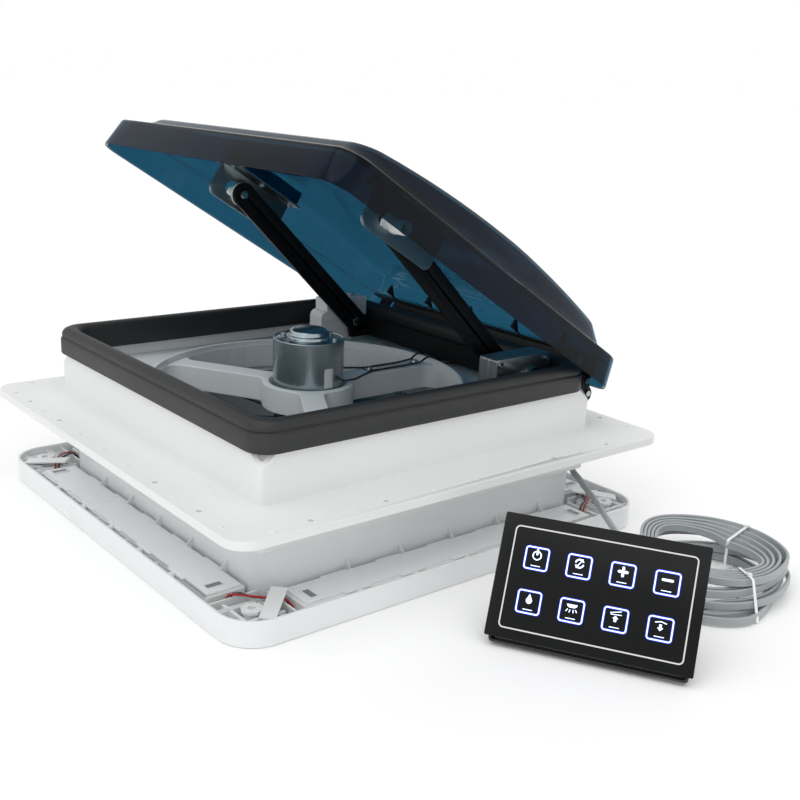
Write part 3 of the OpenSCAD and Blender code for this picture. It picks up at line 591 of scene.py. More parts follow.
def makeCable(c):
    points, tilts = cableRoute(c)
    deselectAll()
    bpy.ops.curve.primitive_nurbs_path_add()
    line = bpy.context.object
    line.data.splines.clear()
    spline = line.data.splines.new("NURBS")
    spline.points.add(len(points) - 1)
    for slotPoint, point, tilt in zip(spline.points, points, tilts):
        slotPoint.co = (*(point * mm), 1)
        slotPoint.tilt = tilt
    spline.order_u = 3
    spline.use_endpoint_u = True
    spline.resolution_u = 2
    line.data.dimensions = "3D"
    line.data.twist_mode = "Z_UP"
    line.data.use_fill_caps = True
    # the flat section: four cores side by side, with shallow grooves between them
    bpy.ops.curve.primitive_bezier_circle_add()
    section = bpy.context.object
    section.data.splines.clear()
    edge = section.data.splines.new("POLY")
    half, thin, groove = c["wide"] / 2, c["thick"] / 2, c["groove"]
    side = []
    for i in range(13):
        u = -1 + 2 * i / 12
        bulge = thin - groove * (0.5 + 0.5 * math.cos(u * 4 * math.pi)) * (1 if abs(u) < 0.9 else 0)
        side.append((u * (half - thin * 0.8), bulge))
    cap = [(half - thin * 0.8 + thin * 0.8 * math.sin(a), thin * math.cos(a))
           for a in (math.radians(d) for d in (30, 60, 90, 120, 150))]
    outline = side + cap + [(-u, -v) for u, v in side] + [(-u, -v) for u, v in cap]
    edge.points.add(len(outline) - 1)
    for slotPoint, (u, v) in zip(edge.points, outline):
        slotPoint.co = (v * mm, u * mm, 0, 1)
    edge.use_cyclic_u = True
    section.data.dimensions = "2D"
    section.data.fill_mode = "NONE"
    line.data.bevel_mode = "OBJECT"
    line.data.bevel_object = section
    take(line)
    bpy.ops.object.convert(target="MESH")
    piece = bpy.context.object
    bpy.data.objects.remove(section)
    settle(piece, "flat_cable")
    enter(piece)
    bpy.ops.mesh.select_all(action="SELECT")
    bpy.ops.mesh.remove_doubles(threshold=0.001 * mm)
    bpy.ops.mesh.select_all(action="SELECT")
    bpy.ops.mesh.normals_make_consistent(inside=False)
    leave()
    smoothOver(piece, 40)
    dress(piece, "grey_cable", "frame", "cable_lead", "cable_coil", "cable_tail")
    return piece


makeCable(cable)

# a strap closed round the turns: corners are (distance out from the middle, height)
ties = {
    "far": {"heading": 102.0, "corners": [(25, 34.4), (76, 34.4), (76, 0.5), (25, 0.5)]},
    "near": {"heading": -27.0, "corners": [(39, 34.4), (64.5, 34.4), (81, 0.5), (46, 0.5)]},
}
strap = {"width": 2.6, "wall": 0.7, "bend": 2.4, "head": (4, 4.4, 2.6), "headIn": 9, "headLow": 33.8}


def makeTie(name, t):
    half, size = strap["width"] / 2, 10
    piece = startBlock(name, (0, -half, 0), (size, half, size))
    enter(piece, "VERT")
    mesh = bmesh.from_edit_mesh(piece.data)
    for v in mesh.verts:
        inside, high = v.co.x < size / 2 * mm, v.co.z > size / 2 * mm
        corner = (0 if inside else 1) if high else (3 if inside else 2)
        v.co.x, v.co.z = t["corners"][corner][0] * mm, t["corners"][corner][1] * mm
    bmesh.update_edit_mesh(piece.data)
    pick(piece, "EDGE", lambda e, m: abs(m.y) < 0.1)
    bpy.ops.mesh.bevel(offset=strap["bend"] * mm, segments=5, affect="EDGES")
    pick(piece, "FACE", lambda f, m: abs(f.normal.y) > 0.9)
    bpy.ops.mesh.delete(type="FACE")
    leave()
    finishWith(piece, "SOLIDIFY", thickness=strap["wall"] * mm, offset=-1)
    long, wide, high = strap["head"]
    start, low = t["corners"][1][0] - strap["headIn"], strap["headLow"]
    head = roundedBlock(name + "_head", (start, -wide / 2, low), (start + long, wide / 2, low + high), 0.8, 3)
    piece = joinAll(name, [piece, head])
    ease(piece, 0.2, 2)
    x, y = cable["centre"]
    return setPlace(piece, Matrix.Translation((x * mm, y * mm, 0))
                    @ Matrix.Rotation(math.radians(t["heading"]), 4, "Z"))


tieFar = makeTie("cable_tie_far", ties["far"])
tieNear = makeTie("cable_tie_near", ties["near"])
dress(tieFar, "white_nylon", "frame", "cable_ties")
dress(tieNear, "white_nylon", "frame")
print("ties closed")


def easedCopy(node, width, segments=2, angle=32, wholeFaces=False):
    source = frame["nodes"][node]
    piece = source.copy()
    piece.data = source.data.copy()
    piece.parent = None
    piece.matrix_world = Matrix.Identity(4)
    for key in list(piece.keys()):
        del piece[key]
    piece.name = piece.data.name = node + "_eased"
    bpy.context.collection.objects.link(piece)
    enter(piece)
    bpy.ops.mesh.select_all(action="SELECT")
    bpy.ops.mesh.remove_doubles(threshold=0.002 * mm)
    if wholeFaces:
        bpy.ops.mesh.dissolve_limited(angle_limit=math.radians(0.6))
    leave()
    ease(piece, width, segments, angle)
    return dress(piece, slotOf[node], bodyOf[node], node)


# how far each node's edges are rounded, in millimetres
easing = {
    "roof_frame": 0.45, "fan_shroud": 0.9, "motor_spider": 1.4, "motor_can": 0.9, "motor_end_bell": 0.6,
    "end_bell_screws": 0.12, "spider_screws": 0.15, "rotor_nut": 0.3,
    "gearbox_body": 0.7, "gearbox_plate": 0.35, "gearbox_cover": 0.7, "gearbox_screws": 0.12,
    "shaft_bush": 0.35, "lift_motor": 0.6, "lift_arm_near": 0.5, "lift_arm_far": 0.5,
    "arm_crossbar": 0.35, "roller_pins": 0.4, "roller_near": 0.5, "roller_far": 0.5,
    "support_block": 0.9, "support_screw": 0.15, "pivot_bolt": 0.5, "bracket_near": 0.35,
    "bracket_far": 0.35, "bracket_screws": 0.12, "hinge_strip": 0.25, "hinge_screws": 0.1,
    "hinge_brackets": 0.5, "hinge_pins": 0.25, "hinge_bracket_screws": 0.1, "trim_duct": 0.9,
    "trim_ring": 0.45, "light_boxes": 0.5, "panel_bezel": 0.45, "panel_box": 0.8,
    "cable_grommet": 0.5, "panel_grommet": 0.5,
}
for node, width in easing.items():
    easedCopy(node, width, wholeFaces=node == "roof_frame")
print("edges eased on", len(easing), "nodes")


# the sloping facets that close the collar's top corners
facets = {"reach": 273.9, "low": 127, "slope": 40, "half": 11.4, "long": 17.6, "thick": 3}


def makeFacets(g):
    piece = startBlock("collar_corner_facets", (-g["half"], 0, -g["thick"]), (g["half"], g["long"], 0))
    enter(piece, "VERT")
    pick(piece, "VERT", lambda v, m: m.y < g["long"] / 2)
    bpy.ops.transform.resize(value=(0.08, 1, 1), center_override=(0, 0, 0))
    leave()
    lean = math.radians(g["slope"])
    axes = Matrix(((0, 1, 0), (-math.sin(lean), 0, math.cos(lean)), (math.cos(lean), 0, math.sin(lean))))
    place = Matrix.Translation((g["reach"] * mm, 0, g["low"] * mm)) @ axes.transposed().to_4x4()
    turns = [copyOf(piece, "facet_%d" % k, Matrix.Rotation(math.radians(45 + 90 * k), 4, "Z") @ place)
             for k in range(4)]
    bpy.data.objects.remove(piece)
    row = joinAll("collar_corner_facets", turns)
    enter(row)
    bpy.ops.mesh.select_all(action="SELECT")
    bpy.ops.mesh.normals_make_consistent(inside=False)
    leave()
    ease(row, 0.3, 2)
    dress(row, "white_plastic", "frame")


makeFacets(facets)

# small mouldings of the ceiling trim, drawn on its +X side and at its corner, and turned to all four
trim = {
    "half": 241, "floor": 3, "wall": 2.5, "duct": 190, "boxAt": 213, "boxHalf": 19, "boxTop": 19,
    "boxLong": 348,
    "pitch": 60, "tooth": 27, "slab": 1.3, "step": 2.6,
    "hook": (7, 5.4, 3.2), "catch": (1.6, 3.2), "rung": 1.3, "gusset": (1.1, 11, 10),
    "window": (17, 9, 1.1), "windowAt": 160,
    "boss": 212, "bossHigh": 19, "bossRing": (9.4, 3.4, 3.0), "cells": (183, 200, 226),
    "cellWall": 1.8, "cellTop": 18.6, "cellShort": 7,
    "flap": {"wide": 14, "from": 268, "to": 314, "off": 15.5, "high": 24, "low": 19, "thick": 1.8},
}


# a thin triangular rib that stands at one place along Y and falls away from its inner side
def wedge(name, low, high, thick, along, tip=1.5):
    x0, z0 = low
    x1, z1 = high
    piece = startBlock(name, (x0, along - thick / 2, z0), (x1, along + thick / 2, z1))
    enter(piece, "VERT")
    pick(piece, "VERT", lambda v, m: m.x > (x0 + x1) / 2 and m.z > (z0 + z1) / 2)
    bpy.ops.transform.translate(value=(0, 0, (z0 - z1 + tip) * mm))
    leave()
    return piece


# a window in a light box: a raised surround with a shallow opening
def makeWindow(t, y):
    long, wide, lip = t["window"]
    x, top = t["boxAt"] + 4, t["boxTop"] + t["slab"] + 0.4
    surround = startBlock("window", (x - long / 2, y - wide / 2, top - 0.5),
                          (x + long / 2, y + wide / 2, top + 1.2))
    enter(surround)
    pick(surround, "FACE", lambda f, m: f.normal.z > 0.9)
    bpy.ops.mesh.inset(thickness=lip * mm)
    bpy.ops.mesh.extrude_region_move(TRANSFORM_OT_translate={"value": (0, 0, -1.0 * mm)})
    leave()
    return surround


def makeSideMouldings(t):
    top, inner, outer = t["boxTop"], t["boxAt"] - t["boxHalf"], t["boxAt"] + t["boxHalf"]
    pieces = [startBlock("slab", (inner + t["step"], -t["boxLong"] / 2 + 3, top - 0.4),
                         (outer - t["step"], t["boxLong"] / 2 - 3, top + t["slab"] + 0.4))]
    count = int(t["boxLong"] / t["pitch"])
    edge = t["half"] - t["wall"]
    long, wide, high = t["hook"]
    reach, grip = t["catch"]
    thick, out, up = t["gusset"]
    for k in range(count):
        y = (k - (count - 1) / 2) * t["pitch"]
        pieces.append(startBlock("tooth", (inner - 0.2, y - t["tooth"] / 2, top - 0.4),
                                 (outer + 0.2, y + t["tooth"] / 2, top + t["slab"])))
        pieces.append(startBlock("hook", (edge - wide, y - long / 2, top - high),
                                 (edge + 0.4, y + long / 2, top + 1.4)))
        pieces.append(startBlock("catch", (edge - wide - reach, y - grip / 2, top - 1),
                                 (edge, y + grip / 2, top + 2.2)))
        if k:
            rung = y - t["pitch"] / 2
            pieces.append(startBlock("rung", (outer - 1, rung - t["rung"], t["floor"]),
                                     (edge + 0.4, rung + t["rung"], top - 0.5)))
        pieces.append(wedge("gusset", (t["duct"] - 0.5, top - 2), (t["duct"] + out, top + up), thick,
                            y + t["tooth"] / 2 + 3))
    pieces += [makeWindow(t, side * t["windowAt"]) for side in (-1, 1)]
    return pieces


# the dark pane in each window
def makePanes(t):
    long, wide, lip = t["window"]
    x, top = t["boxAt"] + 4, t["boxTop"] + t["slab"]
    return [startBlock("pane", (x - long / 2 + lip, y - wide / 2 + lip, top),
                       (x + long / 2 - lip, y + wide / 2 - lip, top + 0.9))
            for y in (-t["windowAt"], t["windowAt"])]


def makeCornerMouldings(t):
    wide, hole, high = t["bossRing"]
    ring = startRound("ring", (t["boss"], t["boss"], t["bossHigh"] + high / 2 - 0.6), wide, high, 8)
    cutAway(ring, startRound("bore", (t["boss"], t["boss"], t["bossHigh"] + 1), hole, 20, 32))
    pieces = [ring]
    edge = t["half"] - t["wall"] + 0.4
    for d in t["cells"]:
        for turned in (False, True):
            short = t["cellShort"] if d > t["boxAt"] + 7 else 0
            low = (t["duct"] - 0.5, d - t["cellWall"] / 2, t["floor"])
            high = (edge - short, d + t["cellWall"] / 2, t["cellTop"])
            if turned:
                low, high = (low[1], low[0], low[2]), (high[1], high[0], high[2])
            pieces.append(startBlock("cell", low, high))
    f = t["flap"]
    flap = startBlock("flap", (f["from"], f["off"] - f["wide"] / 2, f["low"]),
                      (f["to"], f["off"] + f["wide"] / 2, f["low"] + f["thick"]))
    enter(flap, "VERT")
    pick(flap, "VERT", lambda v, m: m.x < (f["from"] + f["to"]) / 2)
    bpy.ops.transform.translate(value=(0, 0, (f["high"] - f["low"]) * mm))
    leave()
    pieces.append(setPlace(flap, Matrix.Rotation(math.radians(45), 4, "Z")))
    return pieces


def makeTrimMouldings(t):
    for make, name, slot in ((makeSideMouldings, "trim_side_mouldings", "trim_plastic"),
                             (makeCornerMouldings, "trim_corner_mouldings", "trim_plastic"),
                             (makePanes, "trim_window_panes", "bracket_steel")):
        one = joinAll(name, make(t))
        ease(one, 0.25, 2)
        turns = [copyOf(one, name + "_%d" % k, Matrix.Rotation(math.pi / 2 * k, 4, "Z")) for k in (1, 2, 3)]
        dress(joinAll(name, [one] + turns), slot, "frame")


makeTrimMouldings(trim)

# low studs near the edge of the roof flange
studs = {"flangeFrom": 230, "at": 240.5, "places": (-212, -137, -50, 0, 50, 137, 212),
         "radius": 2.6, "top": 1.1}


def makeStuds(s):
    corners = frame["nodes"]["roof_frame"].data.vertices
    flange = max(v.co.z for v in corners if abs(v.co.x) > s["flangeFrom"] * mm) / mm
    pieces = []
    for k in range(4):
        for place in s["places"]:
            stud = startRound("stud", (s["at"], place, flange + s["top"] / 2 - 0.2), s["radius"],
                              s["top"] + 0.4, 24)
            enter(stud)
            pick(stud, "FACE", lambda f, m: f.normal.z > 0.9)
            bpy.ops.mesh.inset(thickness=1.1 * mm)
            leave()
            pieces.append(setPlace(stud, Matrix.Rotation(math.pi / 2 * k, 4, "Z")))
    row = joinAll("flange_studs", pieces)
    ease(row, 0.5, 3)
    dress(row, "white_plastic", "frame")


makeStuds(studs)
print("trim and flange mouldings made")

# the lid as it is closed: its skirt, its stepped border and its crowned top
lid = {
    "wide": 420, "long": 416.5, "rear": 209.2, "rim": 140.2, "skirt": 31.6, "radius": 24, "wall": 3.0,
    "crown": 66.8, "hinge": (204, 131), "open": 31.6,
    # inset, height over the rim, share of the crown's own height
    "rings": [(0, 1.2, 0), (3.0, 28.2, 0), (3.6, 30.2, 0), (5.0, 31.3, 0), (7.2, 31.6, 0), (12.6, 31.6, 0),
              (15.0, 32.0, 0), (16.6, 33.6, 0), (21.0, 31.0, 0.42), (26.0, 25.2, 1), (27.8, 28.2, 1),
              (30.6, 30.3, 1), (35.0, 31.3, 1), (42, 31.6, 1), (66, 31.6, 1), (100, 31.6, 1), (140, 31.6, 1),
              (180, 31.6, 1), (204, 31.6, 1)],
    "rib": {"at": 120, "half": 10, "front": -108.8, "long": 88, "low": 184.2, "high": 198.5},
}


# how far the crown's top lies above the skirt's border, falling to the front and the rear
def crownHeight(y):
    s = lid["rear"] - y
    fall = 16.5 * (abs(s - 180) / 206) ** 2.1 + (4.5 * (180 - s) / 145 if s < 180 else 0)
    return lid["crown"] - fall - lid["skirt"]


def openLid():
    y, z = lid["hinge"]
    hinge = Matrix.Translation((0, y * mm, z * mm))
    return hinge @ Matrix.Rotation(math.radians(-lid["open"]), 4, "X") @ hinge.inverted()


def makeLid():
    middle = lid["rear"] - lid["long"] / 2
    rings = lid["rings"]
    profile = [(0.3, lid["rim"])] + [(inset, lid["rim"] + height) for inset, height, share in rings]
    piece = sweepOutline("lid_dome", lid["wide"], lid["long"], middle, lid["radius"], profile,
                         segments=12, cuts=15, closed=False)
    enter(piece, "VERT")
    mesh = bmesh.from_edit_mesh(piece.data)
    perRing = len(mesh.verts) // (len(rings) + 1)
    for v in mesh.verts:
        share = rings[max(0, v.index // perRing - 1)][2]
        v.co.z += share * crownHeight(v.co.y / mm) * mm
        v.select_set(v.index >= perRing * len(rings))
    bmesh.update_edit_mesh(piece.data)
    bpy.ops.mesh.edge_face_add()
    bpy.ops.mesh.select_all(action="SELECT")
    bpy.ops.mesh.normals_make_consistent(inside=False)
    mesh = bmesh.from_edit_mesh(piece.data)
    if sum(f.normal.z * f.calc_area() for f in mesh.faces) < 0:
        bpy.ops.mesh.flip_normals()
    leave()
    finishWith(piece, "SOLIDIFY", thickness=lid["wall"] * mm, offset=-1, use_even_offset=True)
    rib = lid["rib"]
    for x in (-rib["at"], rib["at"]):
        addOn(piece, startBlock("rib", (x - rib["half"], rib["front"], rib["low"]),
                                (x + rib["half"], rib["front"] + rib["long"], rib["high"])))
    smoothOver(piece, 38)
    setPlace(piece, openLid())
    return dress(piece, "smoked_acrylic", "lid", "lid_shell")


makeLid()
print("lid shaped")


# the gasket: its profile goes from the outer foot over the bead to the inner foot
gasket = {"wide": 400, "deep": 387, "middle": -6.5, "radius": 20,
          "profile": [(0.7, 141.1), (0, 142.0), (0, 156.2), (0.7, 158.0), (1.7, 158.7), (1.2, 159.6),
                      (1.0, 161.6), (1.6, 164.2), (3.2, 166.6), (5.6, 168.1), (8.2, 168.4), (11.2, 168.0),
                      (13.6, 166.6), (15.2, 164.2), (15.9, 161.0), (16, 157), (16, 142.0), (15.4, 141.1)]}


def makeGasket(g):
    piece = sweepOutline("gasket_ring", g["wide"], g["deep"], g["middle"], g["radius"], g["profile"],
                         segments=12)
    smoothOver(piece, 50)
    return dress(piece, "seal_rubber", "frame", "lid_seal")


makeGasket(gasket)

# the fan: chord, pitch in degrees and reach of a blade from root to tip
fan = {"centre": (0, -15.5), "hub": 34, "top": 98, "low": 72, "blades": 8, "inner": 30, "outer": 149,
       "chord": (40, 58), "pitch": (32, 20), "camber": 4.2, "thick": 2.2, "middle": 85, "sweep": 6,
       "hubWall": 3, "hollow": 21, "web": 22, "webDrop": 20, "cap": 4, "capDrop": 1.2, "bore": 3.05}


def makeRotor(f):
    hub = startRound("fan_hub", (0, 0, (f["top"] + f["low"]) / 2), f["hub"], f["top"] - f["low"], 96)
    enter(hub)
    pick(hub, "FACE", lambda face, m: face.normal.z < -0.9)
    bpy.ops.mesh.inset(thickness=f["hubWall"] * mm)
    bpy.ops.mesh.extrude_region_move(TRANSFORM_OT_translate={"value": (0, 0, f["hollow"] * mm)})
    bpy.ops.mesh.inset(thickness=f["web"] * mm)
    bpy.ops.mesh.extrude_region_move(TRANSFORM_OT_translate={"value": (0, 0, -f["webDrop"] * mm)})
    pick(hub, "FACE", lambda face, m: face.normal.z > 0.9 and m.z > f["top"] - 1)
    bpy.ops.mesh.inset(thickness=f["cap"] * mm)
    bpy.ops.mesh.extrude_region_move(TRANSFORM_OT_translate={"value": (0, 0, -f["capDrop"] * mm)})
    leave()
    cutAway(hub, startRound("bore", (0, 0, f["middle"]), f["bore"], 60, 32))
    ease(hub, 1.2, 3)
    blades = []
    deselectAll()
    bpy.ops.mesh.primitive_grid_add(x_subdivisions=14, y_subdivisions=10, size=1)
    blade = bpy.context.object
    enter(blade, "VERT")
    mesh = bmesh.from_edit_mesh(blade.data)
    for v in mesh.verts:
        along, side = v.co.x + 0.5, v.co.y * 2
        reach = f["inner"] + (f["outer"] - f["inner"]) * along
        chord = f["chord"][0] + (f["chord"][1] - f["chord"][0]) * math.sin(along * math.pi / 2)
        tipRound = (1 - 0.16 * abs(side) ** 3 * along ** 4)
        pitch = math.radians(f["pitch"][0] + (f["pitch"][1] - f["pitch"][0]) * along)
        wide = side * chord / 2
        sweep = f["sweep"] * along * along
        lift = f["camber"] * (1 - side * side)
        v.co = Vector((reach * tipRound, wide * math.cos(pitch) + sweep,
                       f["middle"] + wide * math.sin(pitch) + lift - 2)) * mm
    bmesh.update_edit_mesh(blade.data)
    bpy.ops.mesh.select_all(action="SELECT")
    bpy.ops.mesh.normals_make_consistent(inside=False)
    leave()
    finishWith(blade, "SOLIDIFY", thickness=f["thick"] * mm, offset=0)
    ease(blade, 0.6, 2, 60)
    for k in range(f["blades"]):
        blades.append(copyOf(blade, "blade_%d" % k, Matrix.Rotation(2 * math.pi * k / f["blades"], 4, "Z")))
    bpy.data.objects.remove(blade)
    rotor = joinAll("fan_rotor_moulded", [hub] + blades)
    smoothOver(rotor, 40)
    setPlace(rotor, Matrix.Translation((f["centre"][0] * mm, f["centre"][1] * mm, 0)))
    return dress(rotor, "rotor_plastic", "fan", "fan_rotor")


makeRotor(fan)

# a blank paper label on the can
label = {"radius": 36.05, "from": -9, "to": 8, "low": 131.2, "high": 151}


def makeLabel(g):
    piece = startRound("can_label", (0, 0, (g["low"] + g["high"]) / 2), g["radius"],
                       g["high"] - g["low"], 180)
    enter(piece)
    pick(piece, "FACE", lambda f, m: abs(f.normal.z) > 0.5
         or not g["from"] < math.degrees(math.atan2(m.y, m.x)) < g["to"])
    bpy.ops.mesh.delete(type="FACE")
    leave()
    finishWith(piece, "SOLIDIFY", thickness=0.12 * mm, offset=1)
    smoothOver(piece, 40)
    setPlace(piece, Matrix.Translation((fan["centre"][0] * mm, fan["centre"][1] * mm, 0)))
    return dress(piece, "motor_steel", "frame", material=finish["label_paper"])


makeLabel(label)
print("fan and gasket made")

# the insect screen under the fan
screen = {"half": 179.5, "height": 3.4, "pitch": 7.2, "wire": 0.7, "rimSize": 373, "rimRadius": 18,
          "rim": [(0.4, 1), (0, 1.6), (0, 5.4), (0.6, 6), (6.2, 6), (7, 5.2), (7, 1.6), (6.4, 1)]}


def makeScreen(s):
    size = 2 * s["half"]
    count = int(size / s["pitch"])
    deselectAll()
    bpy.ops.mesh.primitive_grid_add(x_subdivisions=count, y_subdivisions=count, size=size * mm,
                                    location=(0, 0, s["height"] * mm))
    wires = settle(bpy.context.object, "wires")
    finishWith(wires, "WIREFRAME", thickness=s["wire"] * mm, use_boundary=True, use_replace=True)
    rim = sweepOutline("rim", s["rimSize"], s["rimSize"], 0, s["rimRadius"], s["rim"], segments=8)
    smoothOver(rim)
    piece = joinAll("screen_woven", [rim, wires])
    return dress(piece, "screen_mesh", "frame", "insect_screen")


makeScreen(screen)

# the touch panel, laid out on its own face and then stood up
panel = {"corner": (332.5, -71, 9), "turn": 30.5, "tilt": 61.8, "wide": 163.4, "high": 99.8, "radius": 1.6,
         "key": (19.4, 18.4), "line": 0.95, "lift": 0.05, "frame": ((10, 8), (8.5, 9)), "frameLine": 1.1,
         "halo": 0.5, "mark": 2.4, "dash": ((-3.6, -6), (3.6, -6), 0.6)}
keyPlaces = [(31 + 34.3 * column, 31.5 + 35 * row) for row in (1, 0) for column in range(4)]


def panelPlace():
    return (Matrix.Translation([c * mm for c in panel["corner"]])
            @ Matrix.Rotation(math.radians(panel["turn"]), 4, "Z")
            @ Matrix.Rotation(math.radians(panel["tilt"]), 4, "X"))


def makeGlass(p):
    piece = roundedBlock("panel_glass_plate", (0, 0, -3), (p["wide"], p["high"], 0), p["radius"], 6)
    ease(piece, 0.45, 3)
    setPlace(piece, panelPlace())
    return dress(piece, "panel_black_glass", "frame", "panel_glass")


makeGlass(panel)


# a flat outline, drawn as an inset face that is then thickened
def flatOutline(name, low, high, radius, line, lift, thick=0.08):
    deselectAll()
    middle = [(a + b) / 2 * mm for a, b in zip(low, high)]
    bpy.ops.mesh.primitive_plane_add(size=1, location=middle + [lift * mm])
    piece = bpy.context.object
    piece.scale = ((high[0] - low[0]) * mm, (high[1] - low[1]) * mm, 1)
    settle(piece, name)
    enter(piece, "VERT")
    bpy.ops.mesh.select_all(action="SELECT")
    bpy.ops.mesh.bevel(offset=radius * mm, segments=6, affect="VERTICES")
    bpy.ops.mesh.select_mode(type="FACE")
    bpy.ops.mesh.select_all(action="SELECT")
    if line:
        bpy.ops.mesh.inset(thickness=line * mm)
        bpy.ops.mesh.delete(type="FACE")
    leave()
    finishWith(piece, "SOLIDIFY", thickness=thick * mm, offset=0)
    return piece


def bar(start, end, wide, lift=0.1):
    a, b = Vector(start), Vector(end)
    long = (b - a).length
    piece = roundedBlock("bar", (-long / 2 - wide / 2, -wide / 2, lift - 0.05),
                         (long / 2 + wide / 2, wide / 2, lift + 0.05), wide * 0.48, 4)
    middle = (a + b) / 2
    turn = math.atan2(b.y - a.y, b.x - a.x)
    return setPlace(piece, Matrix.Translation((middle.x * mm, middle.y * mm, 0))
                    @ Matrix.Rotation(turn, 4, "Z"))


# part of a ring, between two angles in degrees
def arc(centre, radius, wide, start, end, lift=0.1):
    deselectAll()
    bpy.ops.mesh.primitive_circle_add(vertices=48, radius=(radius + wide / 2) * mm, fill_type="NGON",
                                      location=(0, 0, lift * mm))
    piece = settle(bpy.context.object, "arc")
    enter(piece)
    bpy.ops.mesh.select_all(action="SELECT")
    bpy.ops.mesh.inset(thickness=wide * mm)
    bpy.ops.mesh.delete(type="FACE")
    pick(piece, "FACE", lambda f, m: not start <= math.degrees(math.atan2(m.y, m.x)) % 360 <= end)
    bpy.ops.mesh.delete(type="FACE")
    leave()
    finishWith(piece, "SOLIDIFY", thickness=0.1 * mm, offset=0)
    return setPlace(piece, Matrix.Translation((centre[0] * mm, centre[1] * mm, 0)))


# a filled flat shape from its corners
def solidShape(corners, lift=0.1):
    deselectAll()
    bpy.ops.mesh.primitive_circle_add(vertices=len(corners), radius=mm, fill_type="NGON")
    piece = settle(bpy.context.object, "shape")
    enter(piece, "VERT")
    mesh = bmesh.from_edit_mesh(piece.data)
    for v, (x, y) in zip(sorted(mesh.verts, key=lambda v: v.index), corners):
        v.co = Vector((x, y, lift)) * mm
    bmesh.update_edit_mesh(piece.data)
    leave()
    finishWith(piece, "SOLIDIFY", thickness=0.1 * mm, offset=0)
    return piece


# a water drop
def drop():
    corners = [(0, 4.2)]
    corners += [(2.5 * math.sin(a), -1.2 - 2.5 * math.cos(a))
                for a in (math.radians(d) for d in range(125, -126, -25))]
    return [solidShape(corners)]


# one for each key: power, reverse, more, less, drop, lamp, open and close
symbols = [
    lambda: [arc((0, 0), 3.3, 0.9, -1, 361), bar((0, 1), (0, 4.4), 1.5)],
    lambda: [arc((0, 0), 3.2, 1.2, 20, 175), arc((0, 0), 3.2, 1.2, 200, 355),
             bar((-2.2, -3.4), (2.2, 3.4), 0.8)],
    lambda: [bar((-3.1, 0), (3.1, 0), 2.1), bar((0, -3.1), (0, 3.1), 2.1)],
    lambda: [bar((-3.6, 0), (3.6, 0), 1.9)],
    drop,
    lambda: [solidShape([(-4.4, 2.6), (-3.6, 1), (-2, 0), (2, 0), (3.6, 1), (4.4, 2.6)]),
             bar((-3.2, -1.4), (-4.2, -3), 0.7), bar((-1.2, -1.8), (-1.6, -3.6), 0.7),
             bar((1.2, -1.8), (1.6, -3.6), 0.7), bar((3.2, -1.4), (4.2, -3), 0.7)],
    lambda: [bar((-4.2, 2.6), (3.8, 4.4), 0.6), bar((-3.8, 1.4), (4.2, 1.8), 0.6),
             solidShape([(0, 0.6), (-2.4, -1.6), (-1, -1.6), (-1, -4), (1, -4), (1, -1.6), (2.4, -1.6)])],
    lambda: [bar((-4.2, 2.2), (0, 3.2), 0.7), bar((0, 3.2), (4.2, 2.2), 0.7),
             solidShape([(0, -4), (-2.4, -1.6), (-1, -1.6), (-1, 1), (1, 1), (1, -1.6), (2.4, -1.6)])],
]


def makeKeys(p):
    lit, halo = [], []
    for (x, y), symbol in zip(keyPlaces, symbols):
        half, tall, more = p["key"][0] / 2, p["key"][1] / 2, p["halo"]
        lit.append(flatOutline("key", (x - half, y - tall), (x + half, y + tall), 2.6, p["line"],
                               p["lift"] + 0.07))
        halo.append(flatOutline("halo", (x - half - more, y - tall - more),
                                (x + half + more, y + tall + more), 3.0, p["line"] + 2 * more,
                                p["lift"], 0.05))
        for mark in symbol():
            lit.append(setPlace(mark, Matrix.Translation((x * mm, (y + p["mark"]) * mm, 0))))
        lit.append(setPlace(bar(*p["dash"]), Matrix.Translation((x * mm, y * mm, 0))))
    lines = joinAll("key_marks", lit)
    glow = joinAll("key_glow", halo)
    width, height = p["wide"], p["high"]
    (left, below), (right, above) = p["frame"]
    edge = flatOutline("panel_frame_line", (left, below), (width - right, height - above), 4, p["frameLine"],
                       p["lift"], 0.08)
    for piece, slot, material in ((lines, "key_guide", finish["key_light"]),
                                  (glow, "key_guide", finish["key_halo"]),
                                  (edge, "panel_black_glass", finish["frame_print"])):
        setPlace(piece, panelPlace())
        dress(piece, slot, "frame", material=material)


makeKeys(panel)
print("panel made")

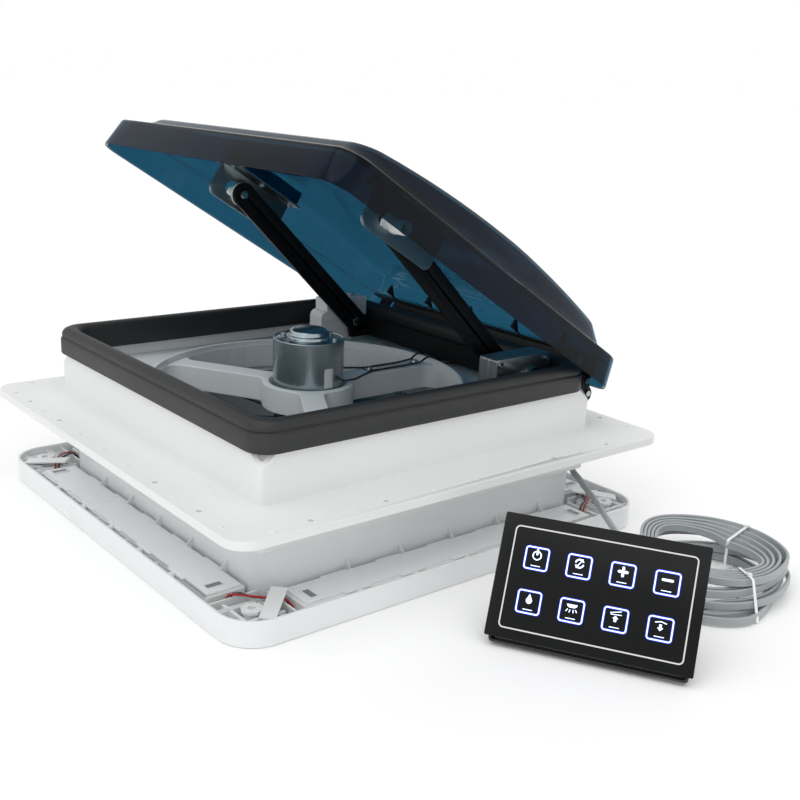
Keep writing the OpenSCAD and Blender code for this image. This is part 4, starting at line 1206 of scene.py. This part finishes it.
# a pale floor under an even sky, with one soft sun and one narrow strip lamp
studio = {"floor": shade(254, 254, 254), "floorSize": 60, "sky": 0.68, "horizon": 1.0,
          "sun": {"from": (0.22, -0.36, 1.1), "strength": 1.2, "angle": 75},
          "strip": {"place": (0.75, -1.9, 1.15), "wide": 0.12, "high": 1.3, "power": 1.6}}


def makeStudio(s):
    deselectAll()
    bpy.ops.mesh.primitive_plane_add(size=s["floorSize"], location=(0, 0, -0.0004))
    floor = bpy.context.object
    floor.name = "floor"
    plain = bpy.data.materials.new("floor_paper")
    plain.use_nodes = True
    skin = plain.node_tree.nodes["Principled BSDF"]
    skin.inputs["Base Color"].default_value = s["floor"]
    skin.inputs["Roughness"].default_value = 0.9
    floor.data.materials.append(plain)
    world = bpy.data.worlds.new("studio")
    world.use_nodes = True
    tree = world.node_tree
    way = addNode(tree, "ShaderNodeTexCoord").outputs["Generated"]
    height = addNode(tree, "ShaderNodeSeparateXYZ", {"Vector": way}).outputs["Z"]
    fall = addNode(tree, "ShaderNodeMapRange", {"Value": height, "From Min": 0.1, "From Max": 0.45,
                                                "To Min": s["horizon"], "To Max": s["sky"]})
    tree.links.new(fall.outputs[0], tree.nodes["Background"].inputs["Strength"])
    tree.nodes["Background"].inputs["Color"].default_value = (1, 1, 1, 1)
    bpy.context.scene.world = world
    bpy.ops.object.light_add(type="SUN", location=[2 * c for c in s["sun"]["from"]])
    sun = bpy.context.object
    sun.data.energy = s["sun"]["strength"]
    sun.data.angle = math.radians(s["sun"]["angle"])
    sun.rotation_euler = Vector(s["sun"]["from"]).to_track_quat("Z", "Y").to_euler()
    strip = s["strip"]
    bpy.ops.object.light_add(type="AREA", location=strip["place"])
    lamp = bpy.context.object
    lamp.data.shape = "RECTANGLE"
    lamp.data.size, lamp.data.size_y = strip["wide"], strip["high"]
    lamp.data.energy = strip["power"]
    lamp.rotation_euler = (Vector(strip["place"]) - Vector((0, 0, 0.15))).to_track_quat("Z", "Y").to_euler()


makeStudio(studio)

bpy.context.scene.view_settings.view_transform = "Standard"
